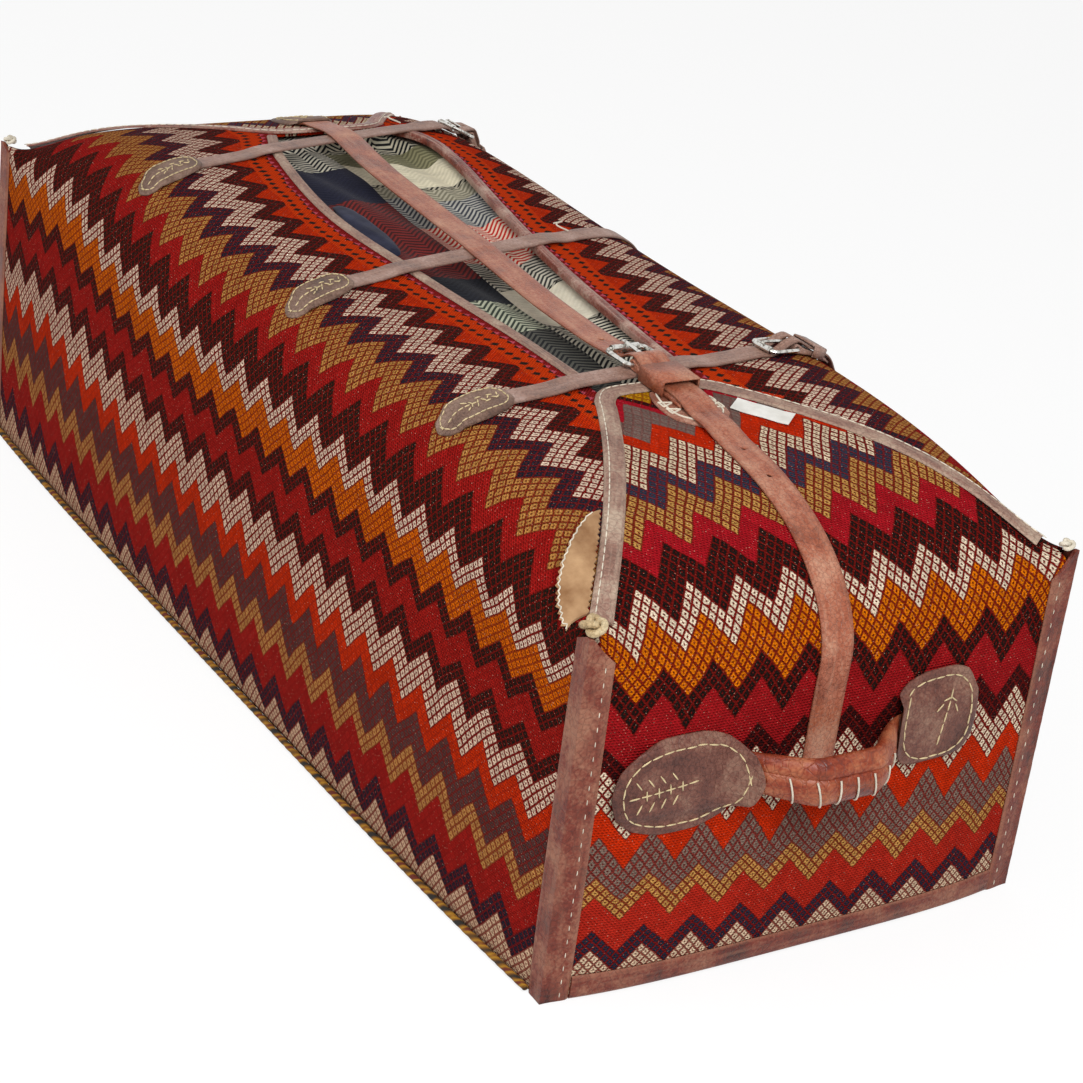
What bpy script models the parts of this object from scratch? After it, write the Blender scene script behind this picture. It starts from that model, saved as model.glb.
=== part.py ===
"""A stuffed camel bag: four woven panels, leather bindings, straps with roller buckles, two handles.

Metres, +Z up. The bag stands on its base at Z = 0, its length runs along X and its width along Y.
The near end is at +X, and the front long side is at -Y.
"""
import math
from collections import namedtuple

import bmesh
import bpy
import numpy as np
from mathutils import Matrix, Vector

Buckle = namedtuple("Buckle", "bar roller pin span play")

# Size of the stuffed bag
HALF_LENGTH = 0.590
HALF_WIDTH = 0.240
TOP_HEIGHT = 0.392
TOP_SAG = 0.007
TOP_SAG_LENGTH = 0.250
WALL_HEIGHT = 0.275
CORNER_HEIGHT = 0.330
END_POWER = 6.0
END_ROUNDNESS = 1.7
SIDE_POWER = 8.0
SIDE_ROUNDNESS = 1.8
SIDE_BOW = 0.006
END_BOW = 0.012
SIDE_BULGE = 0.014
END_BULGE = 0.006
BOW_POWER = 4.0
BULGE_FALL = 4.0
BULGE_LOW = 0.6
BULGE_HIGH = 1.2

# Grid steps of the woven panels, and how their rows crowd towards the shoulder
HIP_STEPS = 6
LIP_STEPS = 13
WALL_STEPS = 5
TOP_STEPS = 7
ROW_CROWDING = 1.7

# Cloth and leather
CLOTH = 0.0040
BASE_CLOTH = 0.0035
LEATHER = 0.0025
GAP = 0.0004
SEAM_GAP = 0.0006
FILL_CLEARANCE = 0.0050

# Flaps of the two end panels, and the lips of the mouth between them
NEAR_FLAP_REACH = 0.285
FAR_FLAP_REACH = 0.185
NEAR_TIP = (-0.063, 0.036)
FAR_TIP = (-0.020, 0.105)
HIP_START = 0.042
NEAR_HIP_BOW = (0.010, -0.008)
FAR_HIP_BOW = (0.004, 0.0)
FRONT_LIP = ((0.12, -0.052), (0.35, -0.079), (0.57, -0.072), (0.80, -0.064))
BACK_LIP = ((0.07, 0.132), (0.16, 0.131), (0.38, 0.101), (0.605, 0.073), (0.865, 0.046))
MOUTH_DIP = 0.006
FOLD_DEPTH = 0.004
FOLD_WIDTH = 0.058
FOLD_SLANT = 0.2

# Rolled cloth tucked inside the front lip
TUCK_START = 0.195
TUCK_LENGTH = 0.135
TUCK_WIDTH = 0.026
TUCK_THICKNESS = 0.0084
TUCK_FROM_LIP = 0.030
TUCK_SEAT = 0.0010

# Bindings and cords
CORNER_SIDE_FLANGE = 0.016
CORNER_END_FLANGE = 0.022
BASE_BINDING = 0.022
FLAP_BINDING = 0.018
LIP_BINDING = 0.011
SELVEDGE = 0.0032
KNOT_LOOP = 0.0075
KNOT_THONG = 0.0032
THREAD_KNOT_SCALE = 0.62
RAWHIDE_SETTLE = 0.0010
THREAD_SETTLE = 0.0018

# Straps
LONG_WIDTH = 0.032
CROSS_WIDTH = 0.025
STRAP = 0.0024
LONG_FAR_Y = 0.042
LONG_TAIL_Y = -0.014
LONG_TAIL_HEIGHT = 0.150
LONG_ROLLER_X = HALF_LENGTH - 0.342
CROSS_SPAN = 0.185
STRAP_POINT = 0.016
HOLE_RADIUS = 0.0024
HOLE_PITCH = 0.034

# Each cross strap: middle x, slant in x for a metre of y, and how far round the back its roller sits
CROSS_STRAPS = {
    "far": (0.240 - HALF_LENGTH, -0.225, 0.182),
    "middle": (-0.022, -0.215, 0.300),
    "near": (HALF_LENGTH - 0.309, -0.095, 0.136),
}

# Buckles: radii of the bars, the roller and the tongue, length between the bars, play beside the strap
LONG_BUCKLE = Buckle(bar=0.00225, roller=0.00375, pin=0.0016, span=0.036, play=0.0012)
CROSS_BUCKLE = Buckle(bar=0.0019, roller=0.0032, pin=0.0014, span=0.031, play=0.0010)
RUNNING = 0.0003
CHAPE = 0.0023
TONGUE_LIFT = math.radians(8.0)
FRAME_LIFT = math.radians(5.0)
KEEPER_LENGTH = 0.038
CROSS_KEEPER_LENGTH = 0.016
KEEPER = 0.0018

# Patches and handles
PATCH_LENGTH = 0.074
PATCH_WIDTH = 0.044
SHIELD_LENGTH = 0.078
SHIELD_WIDTH = 0.060
PATCH = 0.0024
HANDLE_HEIGHT = 0.197
HANDLE_RISE = 0.034
GRIP_HALF_HEIGHT = 0.021
GRIP_HALF_DEPTH = 0.0115
GRIP_LEFT = -0.118
GRIP_RIGHT = 0.082
LEFT_PATCH = (-0.146, 0.191, 0.062, 0.044)
RIGHT_PATCH = (0.104, 0.206, 0.044, 0.044)
TAG = (HALF_LENGTH - 0.211, 0.058, 0.052, 0.024)
TONGUE_LEAF = (0.105, 0.030)

FINISHES = {
    "woven": ((0.36, 0.055, 0.035, 1), 0.92, 0.0),
    "blanket": ((0.48, 0.43, 0.34, 1), 0.95, 0.0),
    "navy_cloth": ((0.02, 0.02, 0.05, 1), 0.95, 0.0),
    "binding_leather": ((0.19, 0.075, 0.050, 1), 0.62, 0.0),
    "strap_leather": ((0.36, 0.160, 0.105, 1), 0.55, 0.0),
    "patch_leather": ((0.25, 0.155, 0.100, 1), 0.65, 0.0),
    "grip_leather": ((0.28, 0.075, 0.040, 1), 0.45, 0.0),
    "suede": ((0.42, 0.26, 0.15, 1), 0.9, 0.0),
    "selvedge": ((0.55, 0.29, 0.02, 1), 0.9, 0.0),
    "rawhide": ((0.45, 0.37, 0.25, 1), 0.6, 0.0),
    "nickel": ((0.62, 0.61, 0.58, 1), 0.28, 1.0),
    "card": ((0.82, 0.82, 0.80, 1), 0.7, 0.0),
}


def clear_scene():
    for obj in list(bpy.data.objects):
        bpy.data.objects.remove(obj, do_unlink=True)


def finish(name):
    material = bpy.data.materials.get(name)
    if material is None:
        colour, roughness, metallic = FINISHES[name]
        material = bpy.data.materials.new(name)
        material.use_nodes = True
        shader = material.node_tree.nodes["Principled BSDF"]
        shader.inputs["Base Color"].default_value = colour
        shader.inputs["Roughness"].default_value = roughness
        shader.inputs["Metallic"].default_value = metallic
    return material


def link(name, mesh, finish_name=None):
    obj = bpy.data.objects.new(name, mesh)
    bpy.context.scene.collection.objects.link(obj)
    if finish_name:
        mesh.materials.append(finish(finish_name))
    return obj


def solid(name, verts, faces, finish_name):
    """An object from points and faces, with its faces turned outwards."""
    mesh = bpy.data.meshes.new(name)
    mesh.from_pydata([tuple(v) for v in verts], [], faces)
    shape = bmesh.new()
    shape.from_mesh(mesh)
    bmesh.ops.recalc_face_normals(shape, faces=shape.faces)
    if shape.calc_volume(signed=True) < 0:
        bmesh.ops.reverse_faces(shape, faces=shape.faces)
    shape.to_mesh(mesh)
    shape.free()
    mesh.shade_smooth()
    mesh.set_sharp_from_angle(angle=math.radians(40))
    return link(name, mesh, finish_name)


def cutter(name, verts, faces):
    obj = solid(name, verts, faces, None)
    obj.hide_render = True
    obj.display_type = "WIRE"
    return obj


def cut(obj, tool):
    modifier = obj.modifiers.new(tool.name, "BOOLEAN")
    modifier.operation = "DIFFERENCE"
    modifier.solver = "EXACT"
    modifier.object = tool


def slab(lower, upper):
    """Points and faces of the closed sheet between two grids of points."""
    rows, columns = len(lower), len(lower[0])
    verts = [p for row in lower for p in row] + [p for row in upper for p in row]
    top = rows * columns
    faces = []
    for i in range(rows - 1):
        for j in range(columns - 1):
            a, b = i * columns + j, i * columns + j + 1
            c, d = b + columns, a + columns
            faces.append((a, b, c, d))
            faces.append((a + top, d + top, c + top, b + top))
    rim = [j for j in range(columns)]
    rim += [i * columns + columns - 1 for i in range(1, rows)]
    rim += [(rows - 1) * columns + j for j in range(columns - 2, -1, -1)]
    rim += [i * columns for i in range(rows - 2, 0, -1)]
    for a, b in zip(rim, rim[1:] + rim[:1]):
        faces.append((a, b, b + top, a + top))
    return verts, faces


def rings(outlines, closed=False):
    """Points and faces of a skin over a row of equal outlines, capped unless it closes on itself."""
    count, size = len(outlines), len(outlines[0])
    verts = [p for outline in outlines for p in outline]
    faces = []
    for i in range(count if closed else count - 1):
        for j in range(size):
            k = (j + 1) % size
            a, b = i * size, (i + 1) % count * size
            faces.append((a + j, a + k, b + k, b + j))
    if not closed:
        faces.append(tuple(range(size)))
        faces.append(tuple((count - 1) * size + j for j in reversed(range(size))))
    return verts, faces


def smooth_curve(points, spans):
    """Points read from a smooth curve through the given ones."""
    points = [Vector(p) for p in points]
    ends = [2 * points[0] - points[1]] + points + [2 * points[-1] - points[-2]]
    curve = []
    for i in range(len(points) - 1):
        a, b, c, d = ends[i:i + 4]
        for k in range(spans):
            t = k / spans
            curve.append(0.5 * (2 * b + (c - a) * t + (2 * a - 5 * b + 4 * c - d) * t ** 2
                                + (3 * b - a - 3 * c + d) * t ** 3))
    return curve + [points[-1]]


def table_value(table, where):
    """Value at a place, on a smooth line through (place, value) pairs."""
    places = [p for p, _ in table]
    values = [v for _, v in table]
    if where <= places[0]:
        return values[0]
    if where >= places[-1]:
        return values[-1]
    i = max(k for k in range(len(places) - 1) if places[k] <= where)
    share = (where - places[i]) / (places[i + 1] - places[i])
    return values[i] + (values[i + 1] - values[i]) * share * share * (3 - 2 * share)


def shoulder(share, power, roundness):
    """1 in the middle of the top, falling to 0 at its edge."""
    return max(0.0, 1.0 - min(1.0, abs(share)) ** power) ** (1.0 / roundness)


def end_half(y, inset=0.0):
    """Half length at a place across the bag, bowed out between the corners."""
    return HALF_LENGTH - inset + END_BOW * max(0.0, 1 - abs(y / (HALF_WIDTH - inset)) ** BOW_POWER)


def side_half(x, inset=0.0):
    """Half width at a place along the bag, bowed out between the corners."""
    return HALF_WIDTH - inset + SIDE_BOW * max(0.0, 1 - abs(x / (HALF_LENGTH - inset)) ** BOW_POWER)


def edge_height(x, y, inset=0.0):
    """Height of the top of the walls, which rises to the corners."""
    u = min(1.0, abs(x) / (HALF_LENGTH - inset))
    v = min(1.0, abs(y) / (HALF_WIDTH - inset))
    return WALL_HEIGHT + (CORNER_HEIGHT - WALL_HEIGHT) * (u * v) ** END_POWER - inset


def top_height(x, y, inset=0.0):
    edge = edge_height(x, y, inset)
    crown = TOP_HEIGHT - TOP_SAG * math.exp(-(x / TOP_SAG_LENGTH) ** 2) - inset
    across = shoulder(y / side_half(x, inset), SIDE_POWER, SIDE_ROUNDNESS)
    along = shoulder(x / end_half(y, inset), END_POWER, END_ROUNDNESS)
    return edge + (crown - edge) * across * along


def top_normal(x, y, inset=0.0):
    step = 2e-5
    x = math.copysign(min(abs(x), end_half(y, inset) - 2 * step), x)
    y = math.copysign(min(abs(y), side_half(x, inset) - 2 * step), y)
    slope_x = (top_height(x + step, y, inset) - top_height(x - step, y, inset)) / (2 * step)
    slope_y = (top_height(x, y + step, inset) - top_height(x, y - step, inset)) / (2 * step)
    return Vector((-slope_x, -slope_y, 1.0)).normalized()


def top_point(x, y, lift=0.0, inset=0.0):
    return Vector((x, y, top_height(x, y, inset))) + lift * top_normal(x, y, inset)


def bulge(along, height):
    """Share of the wall's bulge at a share of its length and of its height."""
    height = min(1.0, max(0.0, height))
    peak = BULGE_LOW / (BULGE_LOW + BULGE_HIGH)
    most = peak ** BULGE_LOW * (1 - peak) ** BULGE_HIGH
    rise = height ** BULGE_LOW * (1 - height) ** BULGE_HIGH / most
    return rise * max(0.0, 1 - abs(along) ** BULGE_FALL)


def side_point(side, x, z, lift=0.0, inset=0.0):
    half = HALF_LENGTH - inset
    wall = edge_height(x, HALF_WIDTH, inset)

    def out(at):
        return side_half(at, inset) + SIDE_BULGE * bulge(at / half, z / wall)

    step = 1e-4
    slope = (out(x + step) - out(x - step)) / (2 * step) if abs(x) < half - step else 0.0
    normal = Vector((-slope, side, 0)).normalized()
    return Vector((x, side * out(x), z)) + lift * normal


def end_point(end, y, z, lift=0.0, inset=0.0):
    half = HALF_WIDTH - inset
    wall = edge_height(HALF_LENGTH, y, inset)

    def out(at):
        return end_half(at, inset) + END_BULGE * bulge(at / half, z / wall)

    step = 1e-4
    slope = (out(y + step) - out(y - step)) / (2 * step) if abs(y) < half - step else 0.0
    normal = Vector((end, -slope, 0)).normalized()
    return Vector((end * out(y), y, z)) + lift * normal


def profile(reach_of_top, top_at, wall_at, wall_top):
    """Points and lifted points down a section of the skin, and their distance from the middle."""
    samples = []
    count = 60
    for k in range(count + 1):
        samples.append(top_at(reach_of_top * (1 - (1 - k / count) ** 1.8)))
    for k in range(1, count + 1):
        samples.append(wall_at(wall_top * (1 - k / count)))
    distance = [0.0]
    for (a, _), (b, _) in zip(samples, samples[1:]):
        distance.append(distance[-1] + (b - a).length)
    return samples, distance


def read_profile(samples, distance, reach, lift):
    reach = min(max(reach, 0.0), distance[-1])
    i = min(max(int(np.searchsorted(distance, reach)) - 1, 0), len(distance) - 2)
    share = (reach - distance[i]) / max(distance[i + 1] - distance[i], 1e-9)
    base = samples[i][0].lerp(samples[i + 1][0], share)
    normal = (samples[i][1] - samples[i][0]).lerp(samples[i + 1][1] - samples[i + 1][0], share)
    return base + lift * normal.normalized()


def side_skin(side, x, reach, lift=0.0):
    """Point at a distance round the skin from the middle of the top towards one long side."""
    key = (side, round(x, 7))
    if key not in side_skin.known:
        unit = 0.001
        side_skin.known[key] = profile(
            side_half(x),
            lambda y: (top_point(x, side * y), top_point(x, side * y, unit)),
            lambda z: (side_point(side, x, z), side_point(side, x, z, unit)),
            edge_height(x, HALF_WIDTH))
    return read_profile(*side_skin.known[key], reach, lift)


side_skin.known = {}


def end_skin(end, y, reach, lift=0.0):
    """Point at a distance round the skin from the middle of the top towards one end."""
    key = (end, round(y, 7))
    if key not in end_skin.known:
        unit = 0.001
        end_skin.known[key] = profile(
            end_half(y),
            lambda x: (top_point(end * x, y), top_point(end * x, y, unit)),
            lambda z: (end_point(end, y, z), end_point(end, y, z, unit)),
            edge_height(HALF_LENGTH, y))
    return read_profile(*end_skin.known[key], reach, lift)


end_skin.known = {}


def across_skin(x, reach, lift=0.0):
    """Point on a line across the top: negative reach towards the front, positive to the back."""
    return side_skin(-1 if reach < 0 else 1, x, abs(reach), lift)


def tip_x(end):
    reach = NEAR_FLAP_REACH if end > 0 else FAR_FLAP_REACH
    return end * (HALF_LENGTH - reach)


def tip_y(end, side):
    tip = NEAR_TIP if end > 0 else FAR_TIP
    return tip[0] if side < 0 else tip[1]


def hip(end, side, share):
    """Plan position on a hip seam, from the corner at share 0 to the flap's tip at share 1."""
    corner = Vector((end * HALF_LENGTH, side * HALF_WIDTH))
    tip = Vector((tip_x(end), tip_y(end, side)))
    bow = (NEAR_HIP_BOW if end > 0 else FAR_HIP_BOW)[0 if side < 0 else 1]
    inward = Vector((end * 0.5, -side * 0.85))
    return corner.lerp(tip, share) + inward * bow * 4 * share * (1 - share)


def lip_y(side, x):
    """Plan position of the mouth's lip on one side."""
    start, stop = tip_x(-1), tip_x(1)
    inner = FRONT_LIP if side < 0 else BACK_LIP
    table = [(0.0, tip_y(-1, side))] + list(inner) + [(1.0, tip_y(1, side))]
    points = [(start + share * (stop - start), y) for share, y in table]
    places = [p for p, _ in points]
    i = min(max(int(np.searchsorted(places, x)) - 1, 0), len(points) - 2)
    ends = [points[max(i - 1, 0)], points[i], points[i + 1], points[min(i + 2, len(points) - 1)]]
    span = ends[2][0] - ends[1][0]
    slope_a = (ends[2][1] - ends[0][1]) / max(ends[2][0] - ends[0][0], 1e-6)
    slope_b = (ends[3][1] - ends[1][1]) / max(ends[3][0] - ends[1][0], 1e-6)
    t = (x - ends[1][0]) / span
    return ((2 * t ** 3 - 3 * t ** 2 + 1) * ends[1][1] + (t ** 3 - 2 * t ** 2 + t) * span * slope_a
            + (3 * t ** 2 - 2 * t ** 3) * ends[2][1] + (t ** 3 - t ** 2) * span * slope_b)


def hip_shares():
    return [HIP_START + (1 - HIP_START) * (k / HIP_STEPS) ** 1.25 for k in range(HIP_STEPS + 1)]


def side_edge(side):
    """Plan points of a side panel's upper edge: hip seam, lip and hip seam."""
    far = [hip(-1, side, share) for share in hip_shares()]
    near = [hip(1, side, share) for share in hip_shares()]
    start, stop = far[-1].x, near[-1].x
    steps = [start + (stop - start) * k / LIP_STEPS for k in range(1, LIP_STEPS)]
    return far + [Vector((x, lip_y(side, x))) for x in steps] + near[::-1]


def side_panel(name, side):
    outer, inner = [], []
    for place in side_edge(side):
        x = place.x
        stop = place.y + side * SEAM_GAP
        wall = edge_height(x, HALF_WIDTH)
        rows = [(side_point(side, x, wall * k / WALL_STEPS),
                 side_point(side, x, wall * k / WALL_STEPS, -CLOTH)) for k in range(WALL_STEPS)]
        for k in range(TOP_STEPS + 1):
            share = (k / TOP_STEPS) ** ROW_CROWDING
            y = side * side_half(x) + (stop - side * side_half(x)) * share
            rows.append((top_point(x, y), top_point(x, y, -CLOTH)))
        outer.append([a for a, _ in rows])
        inner.append([b for _, b in rows])
    return solid(name, *slab(inner, outer), "woven")


def end_edge(end):
    """Plan points of an end panel's upper edge: hip seam, tip and hip seam."""
    front = [hip(end, -1, share) for share in hip_shares()]
    back = [hip(end, 1, share) for share in hip_shares()]
    middle = front[-1].lerp(back[-1], 0.5)
    return front + [middle] + back[::-1]


def end_panel(name, end):
    outer, inner = [], []
    for place in end_edge(end):
        y = place.y
        stop = place.x + end * SEAM_GAP
        wall = edge_height(HALF_LENGTH, y)
        rows = [(end_point(end, y, wall * k / WALL_STEPS),
                 end_point(end, y, wall * k / WALL_STEPS, -CLOTH)) for k in range(WALL_STEPS)]
        for k in range(TOP_STEPS + 1):
            share = (k / TOP_STEPS) ** ROW_CROWDING
            x = end * end_half(y) + (stop - end * end_half(y)) * share
            rows.append((top_point(x, y), top_point(x, y, -CLOTH)))
        outer.append([a for a, _ in rows])
        inner.append([b for _, b in rows])
    return solid(name, *slab(inner, outer), "woven")


def base_panel():
    x = HALF_LENGTH - CLOTH - GAP
    y = HALF_WIDTH - CLOTH - GAP
    outline = [(-x, -y), (x, -y), (x, y), (-x, y)]
    levels = [[Vector((a, b, z)) for a, b in outline] for z in (0.0, BASE_CLOTH)]
    return solid("base_panel", *rings(levels), "woven")


def in_mouth(x, y):
    """1 well inside the mouth, 0 outside it, with a soft rim."""
    rim = 0.012
    start, stop = tip_x(-1), tip_x(1)
    if not start < x < stop:
        return 0.0
    room = min(y - lip_y(-1, x), lip_y(1, x) - y, x - start, stop - x)
    return min(1.0, max(0.0, room / rim))


def blanket_height(x, y):
    """Height of the blanket's folded top, which dips inside the mouth."""
    inset = CLOTH + FILL_CLEARANCE
    fold = FOLD_DEPTH * (0.5 + 0.5 * math.cos(2 * math.pi * (y - FOLD_SLANT * x) / FOLD_WIDTH))
    return top_height(x, y, inset) - (MOUTH_DIP + fold) * in_mouth(x, y)


def blanket_filling():
    inset = CLOTH + FILL_CLEARANCE
    half_x, half_y = HALF_LENGTH - inset, HALF_WIDTH - inset
    shares_x = [math.sin(math.pi / 2 * k / 10) for k in range(-10, 11)]
    shares_y = [-1, -0.93, -0.78, -0.6, -0.4, -0.28, -0.18, -0.08, 0, 0.08, 0.18, 0.28, 0.4, 0.6, 0.78,
                0.93, 1]
    rows = []
    for u in shares_x:
        row = []
        for v in shares_y:
            x = u * end_half(v * half_y, inset)
            y = v * side_half(x, inset)
            row.append(Vector((x, y, blanket_height(x, y))))
        rows.append(row)
    verts = [p for row in rows for p in row]
    top, width = len(verts), len(shares_y)
    faces = []
    for i in range(len(rows) - 1):
        for j in range(width - 1):
            a = i * width + j
            faces.append((a, a + 1, a + 1 + width, a + width))
    rim = [j for j in range(width)]
    rim += [i * width + width - 1 for i in range(1, len(rows))]
    rim += [(len(rows) - 1) * width + j for j in range(width - 2, -1, -1)]
    rim += [i * width for i in range(len(rows) - 2, 0, -1)]
    floor = BASE_CLOTH + GAP
    upper = rim
    for level in (0.7, 0.4, 0.12, 0.0):
        ring = []
        for index in rim:
            p = verts[index]
            z = floor + (p.z - floor) * level
            q = p.copy()
            if abs(p.y) > half_y - 1e-6:
                q.y = side_point(math.copysign(1, p.y), p.x, z, 0.0, inset).y
            if index < width or index >= top - width:
                q.x = end_point(math.copysign(1, p.x), p.y, z, 0.0, inset).x
            q.z = z
            ring.append(q)
        start = len(verts)
        verts += ring
        lower = list(range(start, start + len(ring)))
        for k in range(len(ring)):
            m = (k + 1) % len(ring)
            faces.append((upper[k], upper[m], lower[m], lower[k]))
        upper = lower
    faces.append(tuple(upper))
    return solid("blanket_filling", verts, faces, "blanket")


def tucked_cloth():
    """The dark cloth that shows as a soft roll inside the front lip."""
    start, stop = tip_x(-1) + TUCK_START, tip_x(-1) + TUCK_START + TUCK_LENGTH
    half = TUCK_WIDTH / 2
    outlines = []
    for k in range(9):
        share = k / 8
        x = start + (stop - start) * share
        middle = lip_y(-1, x) + TUCK_FROM_LIP
        swell = math.sqrt(max(0.0, 1 - (2 * share - 1) ** 2)) * 0.86 + 0.14
        floor = max(blanket_height(x, middle + half * s) for s in (-1, 0, 1))
        centre = Vector((x, middle, floor + TUCK_SEAT + TUCK_THICKNESS / 2 * swell))
        outlines.append([centre + Vector((0, half * swell * math.cos(a),
                                          TUCK_THICKNESS / 2 * swell * math.sin(a)))
                         for a in [2 * math.pi * m / 10 for m in range(10)]])
    return solid("tucked_cloth", *rings(outlines), "navy_cloth")


def corner_binding(name, end, side):
    """A strip folded round the upright corner: one flange on the side, one on the end."""
    columns = [-CORNER_SIDE_FLANGE, -CORNER_SIDE_FLANGE / 2, -0.002, 0.0, 0.002,
               CORNER_END_FLANGE / 2, CORNER_END_FLANGE]
    rows = 6
    lower, upper = [], []
    for k in range(rows + 1):
        near, away = [], []
        for q in columns:
            for lift, row in ((GAP, near), (GAP + LEATHER, away)):
                if q < 0:
                    x = end * (HALF_LENGTH + q)
                    row.append(side_point(side, x, edge_height(x, HALF_WIDTH) * k / rows, lift))
                elif q > 0:
                    y = side * (HALF_WIDTH - q)
                    row.append(end_point(end, y, edge_height(HALF_LENGTH, y) * k / rows, lift))
                else:
                    row.append(Vector((end * (HALF_LENGTH + lift), side * (HALF_WIDTH + lift),
                                       CORNER_HEIGHT * k / rows)))
        lower.append(near)
        upper.append(away)
    return solid(name, *slab(lower, upper), "binding_leather")


def base_binding(name, end):
    half = HALF_WIDTH - CORNER_END_FLANGE - 2 * GAP
    lower, upper = [], []
    steps = 12
    for k in range(steps + 1):
        y = -half + 2 * half * k / steps
        levels = [BASE_BINDING * share for share in (0, 0.35, 0.7, 1)]
        lower.append([end_point(end, y, z, GAP) for z in levels])
        upper.append([end_point(end, y, z, GAP + LEATHER) for z in levels])
    return solid(name, *slab(lower, upper), "binding_leather")


def base_cord(name, side):
    """The thick selvedge along a long side's base."""
    half = HALF_LENGTH - CORNER_SIDE_FLANGE - 2 * GAP
    steps = 18
    outlines = []
    for k in range(steps + 1):
        x = -half + 2 * half * k / steps
        centre = side_point(side, x, SELVEDGE + GAP, SELVEDGE + 2 * GAP + 0.0008)
        outlines.append([centre + SELVEDGE * Vector((0, math.cos(a), math.sin(a)))
                         for a in [2 * math.pi * (m + 0.5) / 6 for m in range(6)]])
    return solid(name, *rings(outlines), "selvedge")


def plan_strip(name, path, width, offset, finish_name, columns=4, drop=0.0, corner_rise=0.0):
    """A leather strip laid on the top along a plan path, with an optional edge turned down."""
    lower, upper = [], []
    for i, place in enumerate(path):
        ahead = path[min(i + 1, len(path) - 1)] - path[max(i - 1, 0)]
        across = Vector((-ahead.y, ahead.x)).normalized()
        near, away = [], []
        from_corner = min(1.0, (HALF_LENGTH - abs(place.x)) / 0.10)
        low = GAP + corner_rise * (1 - from_corner)
        for j in range(columns + 1):
            spot = place + across * (offset + width * (j / columns - 0.5))
            x = math.copysign(min(abs(spot.x), end_half(spot.y) - 5e-4), spot.x)
            y = math.copysign(min(abs(spot.y), side_half(spot.x) - 5e-4), spot.y)
            near.append(top_point(x, y, low))
            away.append(top_point(x, y, low + LEATHER))
        if drop:
            edge = place + across * (offset + width / 2)
            near[-1] = top_point(edge.x, edge.y, -drop)
            inner = place + across * (offset + width / 2 - LEATHER)
            near[-2] = top_point(inner.x, inner.y, GAP)
            near.insert(-1, top_point(inner.x, inner.y, -drop))
            away.insert(-1, top_point(inner.x, inner.y, GAP + LEATHER))
        lower.append(near)
        upper.append(away)
    return solid(name, *slab(lower, upper), finish_name)


def flap_binding(name, end):
    """One strip up a hip seam, round the tip and down the other hip seam."""
    start = 0.085
    steps = 12
    shares = [start + (0.94 - start) * (k / steps) ** 1.2 for k in range(steps + 1)]
    front = [hip(end, -1, share) for share in shares]
    back = [hip(end, 1, share) for share in shares]
    nudge = Vector((-end * 0.001, 0))
    first, last = hip(end, -1, 1.0) + nudge, hip(end, 1, 1.0) + nudge
    turn = [front[-1].lerp(first, 0.75).lerp(last, 0.07), first.lerp(last, 0.22),
            first.lerp(last, 0.5), first.lerp(last, 0.78),
            back[-1].lerp(last, 0.75).lerp(first, 0.07)]
    path = front + turn + back[::-1]
    if end > 0:
        path = path[::-1]
    return plan_strip(name, path, FLAP_BINDING, FLAP_BINDING * 0.22, "binding_leather", 2,
                      corner_rise=0.0030)


def lip_binding(name, side):
    """A strip over the edge of a side panel along the mouth, turned down over the cloth's edge."""
    clear = FLAP_BINDING * 0.85
    start, stop = tip_x(-1) + clear, tip_x(1) - clear
    steps = 20
    path = [Vector((x, lip_y(side, x))) for x in [start + (stop - start) * k / steps
                                                  for k in range(steps + 1)]]
    if side > 0:
        path = path[::-1]
    offset = -LIP_BINDING / 2 + LEATHER + 4 * GAP + SEAM_GAP
    return plan_strip(name, path, LIP_BINDING, offset, "binding_leather", 2, drop=CLOTH)


def ribbon(name, path, across, width, thickness, finish_name, point=0.0, blunt=0.0):
    """A strap: its underside follows the path, its last stretch may narrow to a point."""
    lower, upper = [], []
    length = [0.0]
    for a, b in zip(path, path[1:]):
        length.append(length[-1] + (b - a).length)
    for i, place in enumerate(path):
        ahead = (path[min(i + 1, len(path) - 1)] - path[max(i - 1, 0)]).normalized()
        normal = ahead.cross(across[i]).normalized()
        sideways = normal.cross(ahead).normalized()
        half = width / 2
        left = length[-1] - length[i]
        if point and left < point:
            half *= blunt + (1 - blunt) * math.sqrt(max(0.0, 1 - (1 - left / point) ** 2))
        lower.append([place + sideways * half * s for s in (-1, 1)])
        upper.append([p + normal * thickness for p in lower[-1]])
    return solid(name, *slab(lower, upper), finish_name)


def local_frame(origin, forward, upward):
    """Axes of a buckle: X towards its chape, Z away from the bag."""
    x = forward.normalized()
    y = upward.cross(x).normalized()
    z = x.cross(y)
    return Matrix(((x.x, y.x, z.x, origin.x), (x.y, y.y, z.y, origin.y), (x.z, y.z, z.z, origin.z),
                   (0, 0, 0, 1)))


def skin_frame(point_at, middle):
    """Axes at a place on the skin: X along the strap towards its tail, Z away from the bag."""
    step = 0.012
    origin = point_at(middle, 0.0)
    forward = point_at(middle + step, 0.0) - point_at(middle - step, 0.0)
    upward = point_at(middle, 0.001) - origin
    return local_frame(origin, forward, upward)


def empty(name, matrix):
    obj = bpy.data.objects.new(name, None)
    bpy.context.scene.collection.objects.link(obj)
    obj.matrix_world = matrix
    return obj


def tube(path, radius, sides, flat=None):
    """Outlines of a tube along a path that lies in the local X-Z plane."""
    outlines = []
    for i, place in enumerate(path):
        ahead = (path[min(i + 1, len(path) - 1)] - path[max(i - 1, 0)]).normalized()
        across = Vector((0, 1, 0))
        up = ahead.cross(across).normalized()
        size = radius if flat is None else flat[i]
        outlines.append([place + size * (math.cos(a) * across + math.sin(a) * up)
                         for a in [2 * math.pi * m / sides for m in range(sides)]])
    return outlines


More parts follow.
